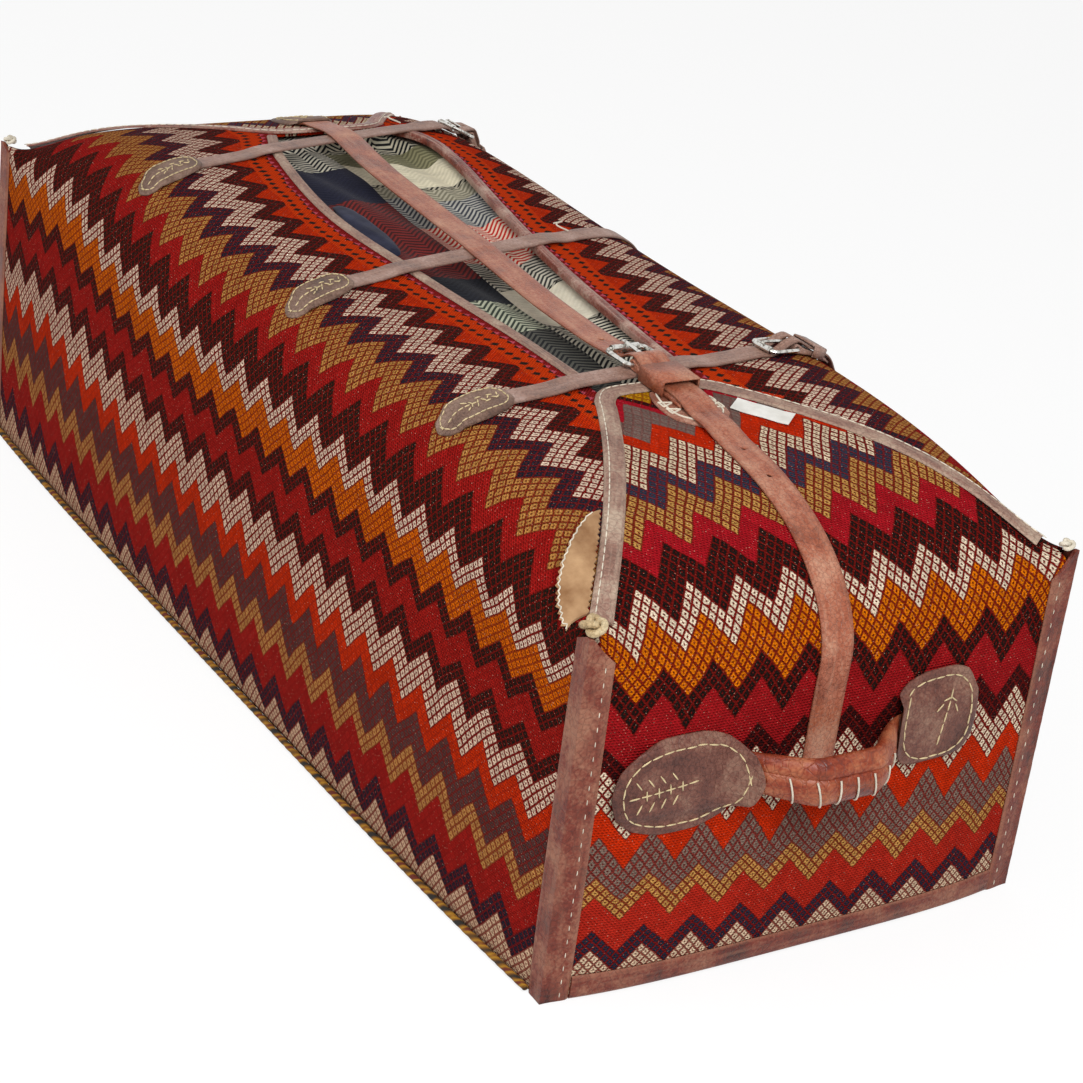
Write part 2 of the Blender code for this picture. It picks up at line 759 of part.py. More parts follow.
def buckle(name, spec, strap_width, seat, heel_at):
    """Frame, roller and tongue of a roller buckle, in the axes of its seat.

    seat is the matrix of the axes, heel_at the place of the heel bar in them.
    """
    bar, roller, pin, span, play = spec
    half = strap_width / 2 + play + bar
    corner = 2.2 * bar
    heel = empty(name + "_heel_axis", seat @ Matrix.Translation(heel_at))
    front = empty(name + "_roller_axis", seat @ Matrix.Translation(heel_at - Vector((span, 0, 0))))

    def place(obj, parent):
        obj.parent = parent
        return obj

    path = []
    for cx, cy, start in ((-span + corner, -half + corner, 180), (-corner, -half + corner, 270),
                          (-corner, half - corner, 0), (-span + corner, half - corner, 90)):
        for k in range(4):
            angle = math.radians(start + 30 * k)
            path.append((Vector((cx + corner * math.cos(angle), cy + corner * math.sin(angle), 0)),
                         Vector((math.cos(angle), math.sin(angle), 0))))
    sides = 8
    outlines = [[p + bar * (math.cos(a) * out + math.sin(a) * Vector((0, 0, 1)))
                 for a in [2 * math.pi * m / sides for m in range(sides)]] for p, out in path]
    place(solid(name + "_frame", *rings(outlines, closed=True), "nickel"), heel)

    length = half - corner - bar * 0.2
    facets = 14
    section = ((length, roller), (-length, roller), (-length, bar + RUNNING), (length, bar + RUNNING))
    outlines = [[Vector((r * math.cos(a), y, r * math.sin(a))) for y, r in section]
                for a in [2 * math.pi * m / facets for m in range(facets)]]
    place(solid(name + "_roller", *rings(outlines, closed=True), "nickel"), front)

    eye = bar + RUNNING + pin
    rest = roller + RUNNING + pin
    path = [Vector((eye * math.cos(a), 0, eye * math.sin(a)))
            for a in [math.radians(-170 + 260 * k / 9) for k in range(10)]]
    path += [Vector((-span * share, 0, eye + (rest - eye) * share)) for share in (0.3, 0.6, 0.9, 1.06)]
    path += [Vector((-span - 1.6 * roller, 0, rest - 0.25 * roller))]
    flat = [pin] * (len(path) - 2) + [pin * 0.92, pin * 0.45]
    place(solid(name + "_tongue", *rings(tube(path, pin, 6, flat)), "nickel"), heel)


def tongue_path_cutter(name, spec, seat, heel_at):
    """The space that the tongue sweeps, with clearance, which the strap's hole leaves free."""
    bar, roller, pin, span = spec.bar, spec.roller, spec.pin, spec.span
    eye = bar + RUNNING + pin
    rest = roller + RUNNING + pin
    clear = 0.0009
    start, stop = -0.04 * span, -1.05 * span
    lift = TONGUE_LIFT + FRAME_LIFT
    line = [Vector((x, 0, eye + (rest - eye) * -x / span)) for x in (start, stop)]
    turn = Matrix.Rotation(lift, 3, "Y")
    turned = [turn @ p for p in line]
    low = [p - Vector((0, 0, pin + clear)) for p in line]
    high = [p + Vector((0, 0, pin + clear)) for p in turned]
    outline = low + high[::-1]
    half = pin + clear
    levels = [[seat @ (heel_at + p + Vector((0, y, 0))) for p in outline] for y in (-half, half)]
    return cutter(name, *rings(levels))


def chape(name, spec, strap_width, seat, heel_at, plate):
    """The folded leather that holds the heel bar: plate gives (distance, underside, top) beyond it."""
    bar, pin = spec.bar, spec.pin
    inner = bar + RUNNING
    outer = inner + CHAPE
    fold = [Vector((outer * math.cos(a), 0, outer * math.sin(a)))
            for a in [math.radians(90 + 180 * k / 8) for k in range(9)]]
    under = [Vector((d, 0, low)) for d, low, _ in plate]
    over = [Vector((d, 0, high)) for d, _, high in plate][::-1]
    outline = fold + under + over
    half = strap_width / 2 - 0.0005
    levels = [[seat @ (heel_at + p + Vector((0, y, 0))) for p in outline] for y in (-half, half)]
    body = solid(name, *rings(levels), "strap_leather")
    facets = 12
    bore = [Vector((inner * math.cos(a), 0, inner * math.sin(a)))
            for a in [2 * math.pi * (m + 0.5) / facets for m in range(facets)]]
    widen = 1 / math.cos(math.pi / facets)
    ends = [[seat @ (heel_at + p * widen + Vector((0, y, 0))) for p in bore]
            for y in (-strap_width, strap_width)]
    cut(body, cutter(name + "_bore", *rings(ends)))
    eye = bar + 2 * RUNNING + 2 * pin
    slot = pin + 0.0008
    box = [Vector((x, y, 0)) for x, y in ((-2 * outer, -slot), (eye + 0.0006, -slot),
                                          (eye + 0.0006, slot), (-2 * outer, slot))]
    ends = [[seat @ (heel_at + p + Vector((0, 0, z))) for p in box] for z in (-2 * outer, 2 * outer)]
    cut(body, cutter(name + "_slot", *rings(ends)))
    return body


def keeper(name, seat, length, strap_width, floor, underside):
    """A leather loop over the strap: a flat bridge with two legs that reach the cloth."""
    inner = strap_width / 2 + 0.0014
    outer = inner + KEEPER
    top = underside + KEEPER
    outline = [(-outer, floor), (-inner, floor), (-inner, underside), (inner, underside), (inner, floor),
               (outer, floor), (outer, top - KEEPER / 2), (outer - KEEPER / 2, top),
               (KEEPER / 2 - outer, top), (-outer, top - KEEPER / 2)]
    levels = [[seat @ Vector((x, y, z)) for y, z in outline] for x in (-length / 2, length / 2)]
    return solid(name, *rings(levels), "strap_leather")


def raised(table_of_clear, distance):
    low, high, reach = table_of_clear
    share = min(1.0, max(0.0, 1 - distance / reach))
    return low + (high - low) * share * share * (3 - 2 * share)


def patch(name, outline, point_at, finish_name, under=None, layers=(1.0, 0.72, 0.4)):
    """A sewn leather patch: its outline in the skin's own coordinates, laid over what is under it."""
    middle = sum((Vector(p) for p in outline), Vector((0, 0))) / len(outline)
    places = [middle.lerp(Vector(p), layer) for layer in layers for p in outline] + [middle]
    rises = [GAP + (under(p.x, p.y) if under else 0.0) for p in places]
    verts = [point_at(p.x, p.y, rise) for p, rise in zip(places, rises)]
    verts += [point_at(p.x, p.y, rise + PATCH) for p, rise in zip(places, rises)]
    size, above = len(outline), len(places)
    tip = above - 1
    faces = []
    for j in range(size):
        k = (j + 1) % size
        for start in range(0, tip - size, size):
            faces.append((start + j, start + k, start + size + k, start + size + j))
        faces.append((tip - size + j, tip - size + k, tip))
    faces += [tuple(index + above for index in reversed(face)) for face in faces]
    faces += [(j, (j + 1) % size, (j + 1) % size + above, j + above) for j in range(size)]
    return solid(name, verts, faces, finish_name)


def ellipse(cx, cy, half_x, half_y, count, power=2.0, turn=0.0):
    points = []
    for k in range(count):
        a = 2 * math.pi * k / count
        x = half_x * math.copysign(abs(math.cos(a)) ** (2 / power), math.cos(a))
        y = half_y * math.copysign(abs(math.sin(a)) ** (2 / power), math.sin(a))
        points.append((cx + x * math.cos(turn) - y * math.sin(turn),
                       cy + x * math.sin(turn) + y * math.cos(turn)))
    return points


def box_distance(x, y, low_x, high_x, low_y, high_y):
    dx = max(low_x - x, 0.0, x - high_x)
    dy = max(low_y - y, 0.0, y - high_y)
    return math.hypot(dx, dy)


def strap_path(controls, spans):
    """A smooth run through (place, sideways) pairs, with the strap's sideways direction along it."""
    places = smooth_curve([place for place, _ in controls], spans)
    across = []
    for (_, a), (_, b) in zip(controls, controls[1:]):
        across += [a.lerp(b, k / spans) for k in range(spans)]
    return places, across + [controls[-1][1]]


def buckle_run(spec, seat, height, rise, before):
    """Places of a strap's underside through a buckle, in the world: under the roller, over the heel."""
    bar, roller, pin, span = spec.bar, spec.roller, spec.pin, spec.span
    under = height - roller - RUNNING - STRAP
    crest = height + bar + RUNNING + 2 * pin + 0.0006
    steps = [(-0.013, under + before), (0.0, under), (0.16 * span, under + 0.0006)]
    steps += [(share * span, under + (crest - under) * climb) for share, climb in rise]
    steps += [(0.90 * span, crest), (1.07 * span, crest + 0.0001)]
    sideways = seat.to_3x3() @ Vector((0, 1, 0))
    return [(seat @ Vector((x - span / 2, 0, z)), sideways) for x, z in steps]


def seat_place(seat, point):
    return seat.inverted() @ point


def plate_on_skin(seat, heel_at, point_at, heel_reach, table):
    """A chape's plate in the heel bar's axes, from (distance, underside lift, top lift) on the skin."""
    plate = []
    for distance, low, high in table:
        bottom = seat_place(seat, point_at(heel_reach + distance, low)) - heel_at
        top = seat_place(seat, point_at(heel_reach + distance, high)) - heel_at
        plate.append((bottom.x, bottom.z, top.z))
    return plate


def hole_cutter(name, place, ahead, across, radius, deep):
    """A punched hole square to the strap."""
    normal = ahead.cross(across).normalized()
    side = normal.cross(ahead).normalized()
    ahead = ahead.normalized()
    outline = [ahead * radius * 1.15 * math.cos(a) + side * radius * math.sin(a)
               for a in [2 * math.pi * (m + 0.5) / 8 for m in range(8)]]
    levels = [[place + p + normal * z for p in outline] for z in (-deep, deep + STRAP)]
    return cutter(name, *rings(levels))


def cross_x(name, reach):
    middle, slant, _ = CROSS_STRAPS[name]
    return middle + slant * reach


def cross_strap(name):
    """One strap across the mouth, with its sewn patch, buckle, chape and keeper."""
    roller_reach = CROSS_STRAPS[name][2]
    roller, span = CROSS_BUCKLE.roller, CROSS_BUCKLE.span

    def point_at(reach, lift):
        return across_skin(cross_x(name, reach), reach, lift)

    seat = skin_frame(point_at, roller_reach + span / 2)
    height = GAP + STRAP + RUNNING + roller
    heel_at = Vector((span / 2, 0, height))
    heel_reach = roller_reach + span
    over = GAP + LEATHER + GAP
    front = min(lip_y(-1, cross_x(name, -0.07)), -0.05) - LIP_BINDING
    back = lip_y(1, cross_x(name, roller_reach * 0.6)) + LIP_BINDING

    def place(reach, lift):
        step = CROSS_WIDTH / 2
        x = cross_x(name, reach)
        return point_at(reach, lift), across_skin(x - step, reach) - across_skin(x + step, reach)

    low = GAP + 0.0003
    table = [(-CROSS_SPAN, low), (-CROSS_SPAN + 0.03, low), (front - 0.030, low), (front - 0.006, over),
             (front + 0.02, over + 0.0002), (front * 0.35, over + 0.0002), (back * 0.5, over + 0.0002),
             (back - 0.014, over + 0.0002), (back + 0.001, over)]
    run_in = roller_reach - 0.030 - (back + 0.020)
    if run_in > 0:
        count = 1 + round(run_in / 0.016)
        table += [(back + 0.020 + run_in * k / count, low) for k in range(count + 1)]
    controls = [place(reach, lift) for reach, lift in table]
    rise = ((0.34, 0.20), (0.52, 0.50), (0.70, 0.82))
    through = buckle_run(CROSS_BUCKLE, seat, height, rise, 0.0002 if run_in > 0 else 0.001)
    tail = [place(heel_reach + d, lift) for d, lift in (
        (0.013, 0.0080), (0.023, 0.0069), (0.034, 0.0067), (0.044, 0.0060), (0.056, 0.0024),
        (0.068, low + 0.0003), (0.082, low + 0.0003))]
    path, lean = strap_path(controls + through + tail, 2)
    strap = ribbon("cross_strap_" + name, path, lean, CROSS_WIDTH, STRAP, "strap_leather",
                   STRAP_POINT, 0.15)
    cut(strap, tongue_path_cutter("cross_hole_" + name, CROSS_BUCKLE, seat, heel_at))

    buckle("cross_buckle_" + name, CROSS_BUCKLE, CROSS_WIDTH, seat, heel_at)
    plate = plate_on_skin(seat, heel_at, point_at, heel_reach, (
        (0.010, low + 0.0010, 0.0068), (0.018, low + 0.0009, 0.0058), (0.026, low + 0.0009, 0.0055),
        (0.035, low + 0.0010, 0.0054), (0.044, low + 0.0012, 0.0038)))
    chape("cross_chape_" + name, CROSS_BUCKLE, CROSS_WIDTH, seat, heel_at, plate)
    keeper("cross_keeper_" + name, skin_frame(point_at, heel_reach + 0.024), CROSS_KEEPER_LENGTH,
           CROSS_WIDTH, low + 0.0004, 0.0080 + STRAP)

    half = CROSS_WIDTH / 2 + 0.004
    stop = -CROSS_SPAN

    def strap_under(across, reach):
        spread = box_distance(across, reach, -half, half, stop - 0.012, stop + 0.2)
        return raised((0.0, STRAP + 3 * GAP, 0.008), spread)

    def skin(across, reach, lift):
        return across_skin(cross_x(name, reach) + across, reach, lift)

    centre = stop + 0.004
    length = PATCH_LENGTH / 2
    width = PATCH_WIDTH / 2
    outline = [(0, -1.0), (0.55, -0.86), (0.92, -0.42), (1.0, 0.15), (0.86, 0.72), (0.45, 0.97), (0, 1.0),
               (-0.45, 0.97), (-0.86, 0.72), (-1.0, 0.15), (-0.92, -0.42), (-0.55, -0.86)]
    outline = [(width * x, centre + length * y) for x, y in outline]
    patch("cross_patch_" + name, outline, skin, "patch_leather", strap_under)


def along_skin(reach, y, lift):
    return end_skin(-1 if reach < 0 else 1, y, abs(reach), lift)


def long_y(reach):
    start = tip_x(-1)
    return table_value(((start, LONG_FAR_Y), (0.5 * start, LONG_FAR_Y * 0.55), (LONG_ROLLER_X - 0.04, 0.0),
                        (LONG_ROLLER_X + 0.2, 0.0), (HALF_LENGTH + 0.18, LONG_TAIL_Y)), reach)


def long_strap():
    """The strap along the mouth, from the far flap to the roller buckle and down the near end."""
    bar, span = LONG_BUCKLE.bar, LONG_BUCKLE.span

    def point_at(reach, lift):
        return along_skin(reach, long_y(reach), lift)

    over_binding = GAP + LEATHER + GAP
    over_cross = over_binding + 0.0002 + STRAP + GAP
    seat = skin_frame(point_at, LONG_ROLLER_X + span / 2)
    height = over_cross + bar + RUNNING + CHAPE + GAP
    heel_at = Vector((span / 2, 0, height))
    heel_reach = LONG_ROLLER_X + span
    tip = tip_x(-1)
    first = cross_x("far", long_y(-0.36))
    second = cross_x("middle", long_y(-0.02))
    half = CROSS_WIDTH / 2 + 0.006

    def place(reach, lift):
        y = long_y(reach)
        step = LONG_WIDTH / 2
        return point_at(reach, lift), along_skin(reach, y + step, 0.0) - along_skin(reach, y - step, 0.0)

    controls = [place(reach, lift) for reach, lift in (
        (tip - 0.046, GAP), (tip - 0.030, GAP), (tip - 0.019, over_binding),
        (tip - 0.004, over_binding + 0.0004),
        (first - half, over_cross), (first, over_cross + 0.0004), (first + half, over_cross),
        ((first + second) / 2 - 0.06, 0.0045), ((first + second) / 2 + 0.05, 0.0040),
        (second - half, over_cross), (second, over_cross + 0.0004), (second + half, over_cross),
        ((second + LONG_ROLLER_X) / 2, 0.0042), (LONG_ROLLER_X - 0.045, 0.0034))]
    through = buckle_run(LONG_BUCKLE, seat, height, ((0.36, 0.25), (0.55, 0.54), (0.73, 0.84)), -0.0006)
    tail_reach = full_reach(LONG_TAIL_Y) - LONG_TAIL_HEIGHT
    low = GAP + 0.0003
    tail = [(0.013, 0.0142), (0.024, 0.0108), (0.040, 0.0096), (0.060, 0.0093), (0.074, 0.0080),
            (0.090, over_binding + 0.0008), (0.112, over_binding + 0.0003)]
    tail = [place(heel_reach + d, lift) for d, lift in tail]
    start = heel_reach + 0.135
    steps = 14
    tail += [place(start + (tail_reach - start) * k / steps, low) for k in range(steps + 1)]
    path, lean = strap_path(controls + through + tail, 2)
    strap = ribbon("long_strap", path, lean, LONG_WIDTH, STRAP, "strap_leather", STRAP_POINT * 1.6, 0.1)
    cut(strap, tongue_path_cutter("long_hole", LONG_BUCKLE, seat, heel_at))
    for k, reach in enumerate((LONG_ROLLER_X - HOLE_PITCH, heel_reach + 4.4 * HOLE_PITCH,
                               heel_reach + 5.6 * HOLE_PITCH, tail_reach - 0.62 * HOLE_PITCH)):
        i = min(range(len(path)), key=lambda m: (path[m] - point_at(reach, 0.002)).length)
        middle = path[i].lerp(path[i + 1], 0.5)
        cut(strap, hole_cutter(f"punched_hole_{k}", middle, path[i + 1] - path[i], lean[i], HOLE_RADIUS,
                               0.003))

    buckle("long_buckle", LONG_BUCKLE, LONG_WIDTH, seat, heel_at)
    plate = plate_on_skin(seat, heel_at, point_at, heel_reach, (
        (0.011, over_cross + 0.0003, 0.0120), (0.019, over_binding + 0.0006, 0.0094),
        (0.036, over_binding + 0.0003, 0.0088), (0.058, over_binding + 0.0003, 0.0086),
        (0.076, over_binding + 0.0003, 0.0064)))
    chape("long_chape", LONG_BUCKLE, LONG_WIDTH, seat, heel_at, plate)
    keeper("long_keeper", skin_frame(point_at, heel_reach + 0.034), KEEPER_LENGTH, LONG_WIDTH,
           over_binding + 0.0005, 0.0139 + STRAP)

    centre = tip_x(1) + FLAP_BINDING * 0.72 + 0.0015 + SHIELD_LENGTH / 2
    length, width = SHIELD_LENGTH / 2, SHIELD_WIDTH / 2
    outline = [(1.0, 0.0), (0.80, 0.42), (0.38, 0.92), (-0.10, 1.0), (-0.62, 0.88), (-1.0, 0.60),
               (-1.0, -0.60), (-0.62, -0.88), (-0.10, -1.0), (0.38, -0.92), (0.80, -0.42)]
    outline = [(centre + length * x, width * y) for x, y in outline]
    patch("near_strap_patch", outline, lambda x, y, lift: along_skin(x, y, lift), "patch_leather")

    half = LONG_WIDTH / 2 + 0.004

    def strap_under(x, y):
        spread = box_distance(x, y, tip - 0.050, tip, LONG_FAR_Y - half, LONG_FAR_Y + half)
        over = over_binding if x > tip - 0.024 else GAP
        return raised((0.0, STRAP + over, 0.010), spread)

    outline = ellipse(tip - 0.052, LONG_FAR_Y, 0.032, 0.030, 14, 2.8)
    patch("far_strap_patch", outline, lambda x, y, lift: along_skin(x, y, lift), "patch_leather",
          strap_under)


def full_reach(y):
    end_skin(1, y, 0.0)
    return end_skin.known[(1, round(y, 7))][1][-1]


def grip_lift(y):
    """Lift of the grip's centre line, its half depth and its half height at a place along it."""
    flat = 0.0016
    start, stop = GRIP_LEFT + 0.022, GRIP_RIGHT - 0.022
    run = 0.055
    share = min(1.0, max(0.0, min(y - start, stop - y) / run))
    ease = share * share * (3 - 2 * share)
    swell = min(1.0, max(0.0, min(y - start + 0.012, stop - y + 0.012) / 0.030))
    swell = swell * swell * (3 - 2 * swell)
    half_depth = flat + (GRIP_HALF_DEPTH - flat) * swell
    half_height = 0.017 + (GRIP_HALF_HEIGHT - 0.017) * ease
    return GAP + half_depth + HANDLE_RISE * ease, half_depth, half_height


def handle(name, end):
    """A padded leather grip whose flat ends are sewn under two patches."""
    first, last = GRIP_LEFT - 0.014, GRIP_RIGHT + 0.014
    steps = 14
    sides = 10
    outlines = []
    for k in range(steps + 1):
        y = first + (last - first) * k / steps
        lift, half_depth, half_height = grip_lift(y)
        taper = 0.75 if k in (0, steps) else 1.0
        outlines.append([end_point(end, end * y, HANDLE_HEIGHT + half_height * taper * math.sin(a),
                                   lift + half_depth * math.cos(a))
                         for a in [2 * math.pi * m / sides for m in range(sides)]])
    solid(name + "_grip", *rings(outlines), "grip_leather")
    for part, (cy, cz, half_y, half_z), power in (("left_patch", LEFT_PATCH, 2.3),
                                                  ("right_patch", RIGHT_PATCH, 2.8)):
        inner = 1 if part == "left_patch" else -1

        def under(y, z, inner=inner, cy=cy, half_y=half_y):
            lift, half_depth, half_height = grip_lift(y)
            reach = 0.009
            low = first if inner > 0 else cy - half_y
            high = cy + half_y if inner > 0 else last
            y = min(max(y, first), last)
            margin = 0.010
            spread = box_distance(y, z, low - margin, high + margin,
                                  HANDLE_HEIGHT - half_height - margin,
                                  HANDLE_HEIGHT + half_height + margin)
            return raised((0.0, lift + half_depth + 4 * GAP, reach), spread)

        outline = ellipse(cy, cz, half_y, half_z, 14, power, 0.04)
        patch(name + "_" + part, outline,
              lambda y, z, lift: end_point(end, end * y, z, lift), "patch_leather", under,
              (1.0, 0.8, 0.6, 0.3))


def corner_knot(name, end, side, scale, settle, finish_name):
    """A thong knotted into a trefoil, settled on the corner's top."""
    loop, thong = KNOT_LOOP * scale, KNOT_THONG * scale
    base = CORNER_HEIGHT + GAP + thong + loop * 0.5 - settle
    centre = Vector((end * (HALF_LENGTH - 0.004), side * (HALF_WIDTH - 0.004), base))
    count, sides = 18, 5
    path = []
    for k in range(count):
        t = 2 * math.pi * k / count
        spread = loop * (1.35 + 0.62 * math.cos(3 * t))
        path.append(centre + Vector((spread * math.cos(2 * t) * 0.62, spread * math.sin(2 * t) * 0.62,
                                     loop * 0.5 * math.sin(3 * t))))
    outlines = []
    for k, place in enumerate(path):
        ahead = (path[(k + 1) % count] - path[k - 1]).normalized()
        out = (place - centre).normalized()
        side_way = ahead.cross(out).normalized()
        out = side_way.cross(ahead)
        outlines.append([place + thong * (math.cos(a) * out + math.sin(a) * side_way)
                         for a in [2 * math.pi * m / sides for m in range(sides)]])
    return solid(name, *rings(outlines, closed=True), finish_name)


def front_shoulder(x, beyond, lift):
    """Point on the front side panel, a distance down from the hip seam of the near flap."""
    share = 1.0
    for k in range(60):
        if hip(1, -1, k / 60).x < x:
            share = k / 60
            break
    seam = abs(hip(1, -1, share).y)
    start = reach_of(x, seam)
    return side_skin(-1, x, start + beyond, lift)


def reach_of(x, y):
    side_skin(-1, x, 0.0)
    samples, distance = side_skin.known[(-1, round(x, 7))]
    places = [abs(base.y) for base, _ in samples[:61]]
    return float(np.interp(y, places, distance[:61]))


def suede_leaf():
    """The loose leather tongue at the near front corner: a leaf that curls along its free edge."""
    length, width = TONGUE_LEAF
    start = HALF_LENGTH - 0.030
    lower, upper = [], []
    steps, columns = 9, 4
    for k in range(steps + 1):
        share = k / steps
        x = start - length * 0.78 * share
        wide = width * (0.25 + 0.75 * math.sin(math.pi * min(1.0, 0.12 + 0.88 * share)) ** 0.7)
        near, away = [], []
        for j in range(columns + 1):
            part = j / columns
            curl = 0.010 * part * part * math.sin(math.pi * share)
            beyond = FLAP_BINDING * 0.56 + wide * part
            near.append(front_shoulder(x, beyond, GAP + 0.0012 + curl))
            away.append(front_shoulder(x, beyond, GAP + 0.0012 + curl + 0.0018))
        lower.append(near)
        upper.append(away)
    return solid("suede_leaf", *slab(lower, upper), "suede")


def blank_tag():
    x, y, length, width = TAG
    turn = math.radians(-50.5)
    lower, upper = [], []
    for a in (-0.5, 0.0, 0.5):
        near, away = [], []
        for b in (-0.5, 0.5):
            px = x + a * width * math.cos(turn) - b * length * math.sin(turn)
            py = y + a * width * math.sin(turn) + b * length * math.cos(turn)
            near.append(along_skin(px, py, GAP + 0.0006))
            away.append(along_skin(px, py, GAP + 0.0012))
        lower.append(near)
        upper.append(away)
    return solid("blank_tag", *slab(lower, upper), "card")


def build():
    clear_scene()
    side_panel("front_panel", -1)
    side_panel("back_panel", 1)
    end_panel("near_end_panel", 1)
    end_panel("far_end_panel", -1)
    base_panel()
    blanket_filling()
    tucked_cloth()
    for end, end_name in ((1, "near"), (-1, "far")):
        for side, side_name in ((-1, "front"), (1, "back")):
            corner_binding(f"corner_binding_{end_name}_{side_name}", end, side)
        base_binding("base_binding_" + end_name, end)
        flap_binding("flap_binding_" + end_name, end)
        handle("handle_" + end_name, end)
    for side, side_name in ((-1, "front"), (1, "back")):
        lip_binding("lip_binding_" + side_name, side)
        base_cord("base_selvedge_" + side_name, side)
    corner_knot("rawhide_knot", 1, -1, 1.0, RAWHIDE_SETTLE, "rawhide")
    corner_knot("thread_knot_near", 1, 1, THREAD_KNOT_SCALE, THREAD_SETTLE, "rawhide")
    corner_knot("thread_knot_far", -1, -1, THREAD_KNOT_SCALE, THREAD_SETTLE, "rawhide")
    suede_leaf()
    blank_tag()
    long_strap()
    for name in CROSS_STRAPS:
        cross_strap(name)


build()
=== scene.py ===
"""A stuffed camel bag in its finish: zigzag woven wool, leather bindings, straps, handles and thread.

Metres, +Z up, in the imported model's frame. The bag is one body, and every piece here rides on it. The
metal of the buckles stays as packed and gets its nickel.
"""

import math
from collections import namedtuple

import bmesh
import bpy
import numpy as np
from mathutils import Matrix, Vector, noise


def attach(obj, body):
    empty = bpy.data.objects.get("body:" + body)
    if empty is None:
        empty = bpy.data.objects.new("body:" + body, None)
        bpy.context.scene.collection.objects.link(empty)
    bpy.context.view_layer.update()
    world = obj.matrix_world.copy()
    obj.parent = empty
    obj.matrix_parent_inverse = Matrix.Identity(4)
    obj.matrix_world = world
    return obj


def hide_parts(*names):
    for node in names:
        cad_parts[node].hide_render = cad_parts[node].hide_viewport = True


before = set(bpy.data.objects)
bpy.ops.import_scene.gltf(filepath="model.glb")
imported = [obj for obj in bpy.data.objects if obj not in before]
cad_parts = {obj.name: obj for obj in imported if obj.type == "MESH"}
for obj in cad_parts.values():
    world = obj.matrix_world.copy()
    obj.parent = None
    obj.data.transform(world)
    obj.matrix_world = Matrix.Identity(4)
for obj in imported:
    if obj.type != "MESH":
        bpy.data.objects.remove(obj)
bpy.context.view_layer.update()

Buckle = namedtuple("Buckle", "bar roller pin span play")

# Size of the stuffed bag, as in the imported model
HALF_LENGTH = 0.590
HALF_WIDTH = 0.240
TOP_HEIGHT = 0.392
TOP_SAG = 0.007
TOP_SAG_LENGTH = 0.250
WALL_HEIGHT = 0.275
CORNER_HEIGHT = 0.330
END_POWER = 6.0
END_ROUNDNESS = 1.7
SIDE_POWER = 8.0
SIDE_ROUNDNESS = 1.8
SIDE_BOW = 0.006
END_BOW = 0.012
SIDE_BULGE = 0.014
END_BULGE = 0.006
BOW_POWER = 4.0
BULGE_FALL = 4.0
BULGE_LOW = 0.6
BULGE_HIGH = 1.2
CLOTH = 0.0040
BASE_CLOTH = 0.0035
LEATHER = 0.0025
GAP = 0.0004
SEAM_GAP = 0.0006
FILL_CLEARANCE = 0.0050

# Flaps, mouth and what lies in it
NEAR_FLAP_REACH = 0.285
FAR_FLAP_REACH = 0.185
NEAR_TIP = (-0.063, 0.036)
FAR_TIP = (-0.020, 0.105)
HIP_START = 0.042
NEAR_HIP_BOW = (0.010, -0.008)
FAR_HIP_BOW = (0.004, 0.0)
FRONT_LIP = ((0.12, -0.052), (0.35, -0.079), (0.57, -0.072), (0.80, -0.064))
BACK_LIP = ((0.07, 0.132), (0.16, 0.131), (0.38, 0.101), (0.605, 0.073), (0.865, 0.046))
MOUTH_DIP = 0.006
FOLD_DEPTH = 0.004
FOLD_WIDTH = 0.058
FOLD_SLANT = 0.2
TUCK_START = 0.195
TUCK_LENGTH = 0.135
TUCK_WIDTH = 0.026
TUCK_THICKNESS = 0.0084
TUCK_FROM_LIP = 0.030
TUCK_SEAT = 0.0010

# Bindings, cords and knots
CORNER_SIDE_FLANGE = 0.016
CORNER_END_FLANGE = 0.022
BASE_BINDING = 0.022
FLAP_BINDING = 0.018
CORNER_RISE = 0.0030
LIP_BINDING = 0.011
SELVEDGE = 0.0032
KNOT_LOOP = 0.0075
KNOT_THONG = 0.0032
THREAD_KNOT_SCALE = 0.62
RAWHIDE_SETTLE = 0.0010
THREAD_SETTLE = 0.0018

# Straps, buckles, patches and handles
LONG_WIDTH = 0.032
CROSS_WIDTH = 0.025
STRAP = 0.0024
LONG_FAR_Y = 0.042
LONG_TAIL_Y = -0.014
LONG_TAIL_HEIGHT = 0.150
LONG_ROLLER_X = 0.248
CROSS_SPAN = 0.185
STRAP_POINT = 0.016
CROSS_STRAPS = {
    "far": (-0.350, -0.225, 0.182),
    "middle": (-0.022, -0.215, 0.300),
    "near": (0.281, -0.095, 0.136),
}
LONG_BUCKLE = Buckle(bar=0.00225, roller=0.00375, pin=0.0016, span=0.036, play=0.0012)
CROSS_BUCKLE = Buckle(bar=0.0019, roller=0.0032, pin=0.0014, span=0.031, play=0.0010)
RUNNING = 0.0003
CHAPE = 0.0023
PATCH_LENGTH = 0.074
PATCH_WIDTH = 0.044
SHIELD_LENGTH = 0.078
SHIELD_WIDTH = 0.060
PATCH = 0.0024
HANDLE_HEIGHT = 0.197
HANDLE_RISE = 0.034
GRIP_HALF_HEIGHT = 0.021
GRIP_HALF_DEPTH = 0.0115
GRIP_LEFT = -0.118
GRIP_RIGHT = 0.082
LEFT_PATCH = (-0.146, 0.191, 0.062, 0.044)
RIGHT_PATCH = (0.104, 0.206, 0.044, 0.044)
TAG = (0.379, 0.058, 0.052, 0.024)
TONGUE_LEAF = (0.105, 0.030)

# How straps lie: on the skin, over a binding, and the slack that they keep there
ON_SKIN = GAP + 0.0003
OVER_BINDING = GAP + LEATHER + GAP
SLACK = 0.0002
TOP_EDGE = 5e-4

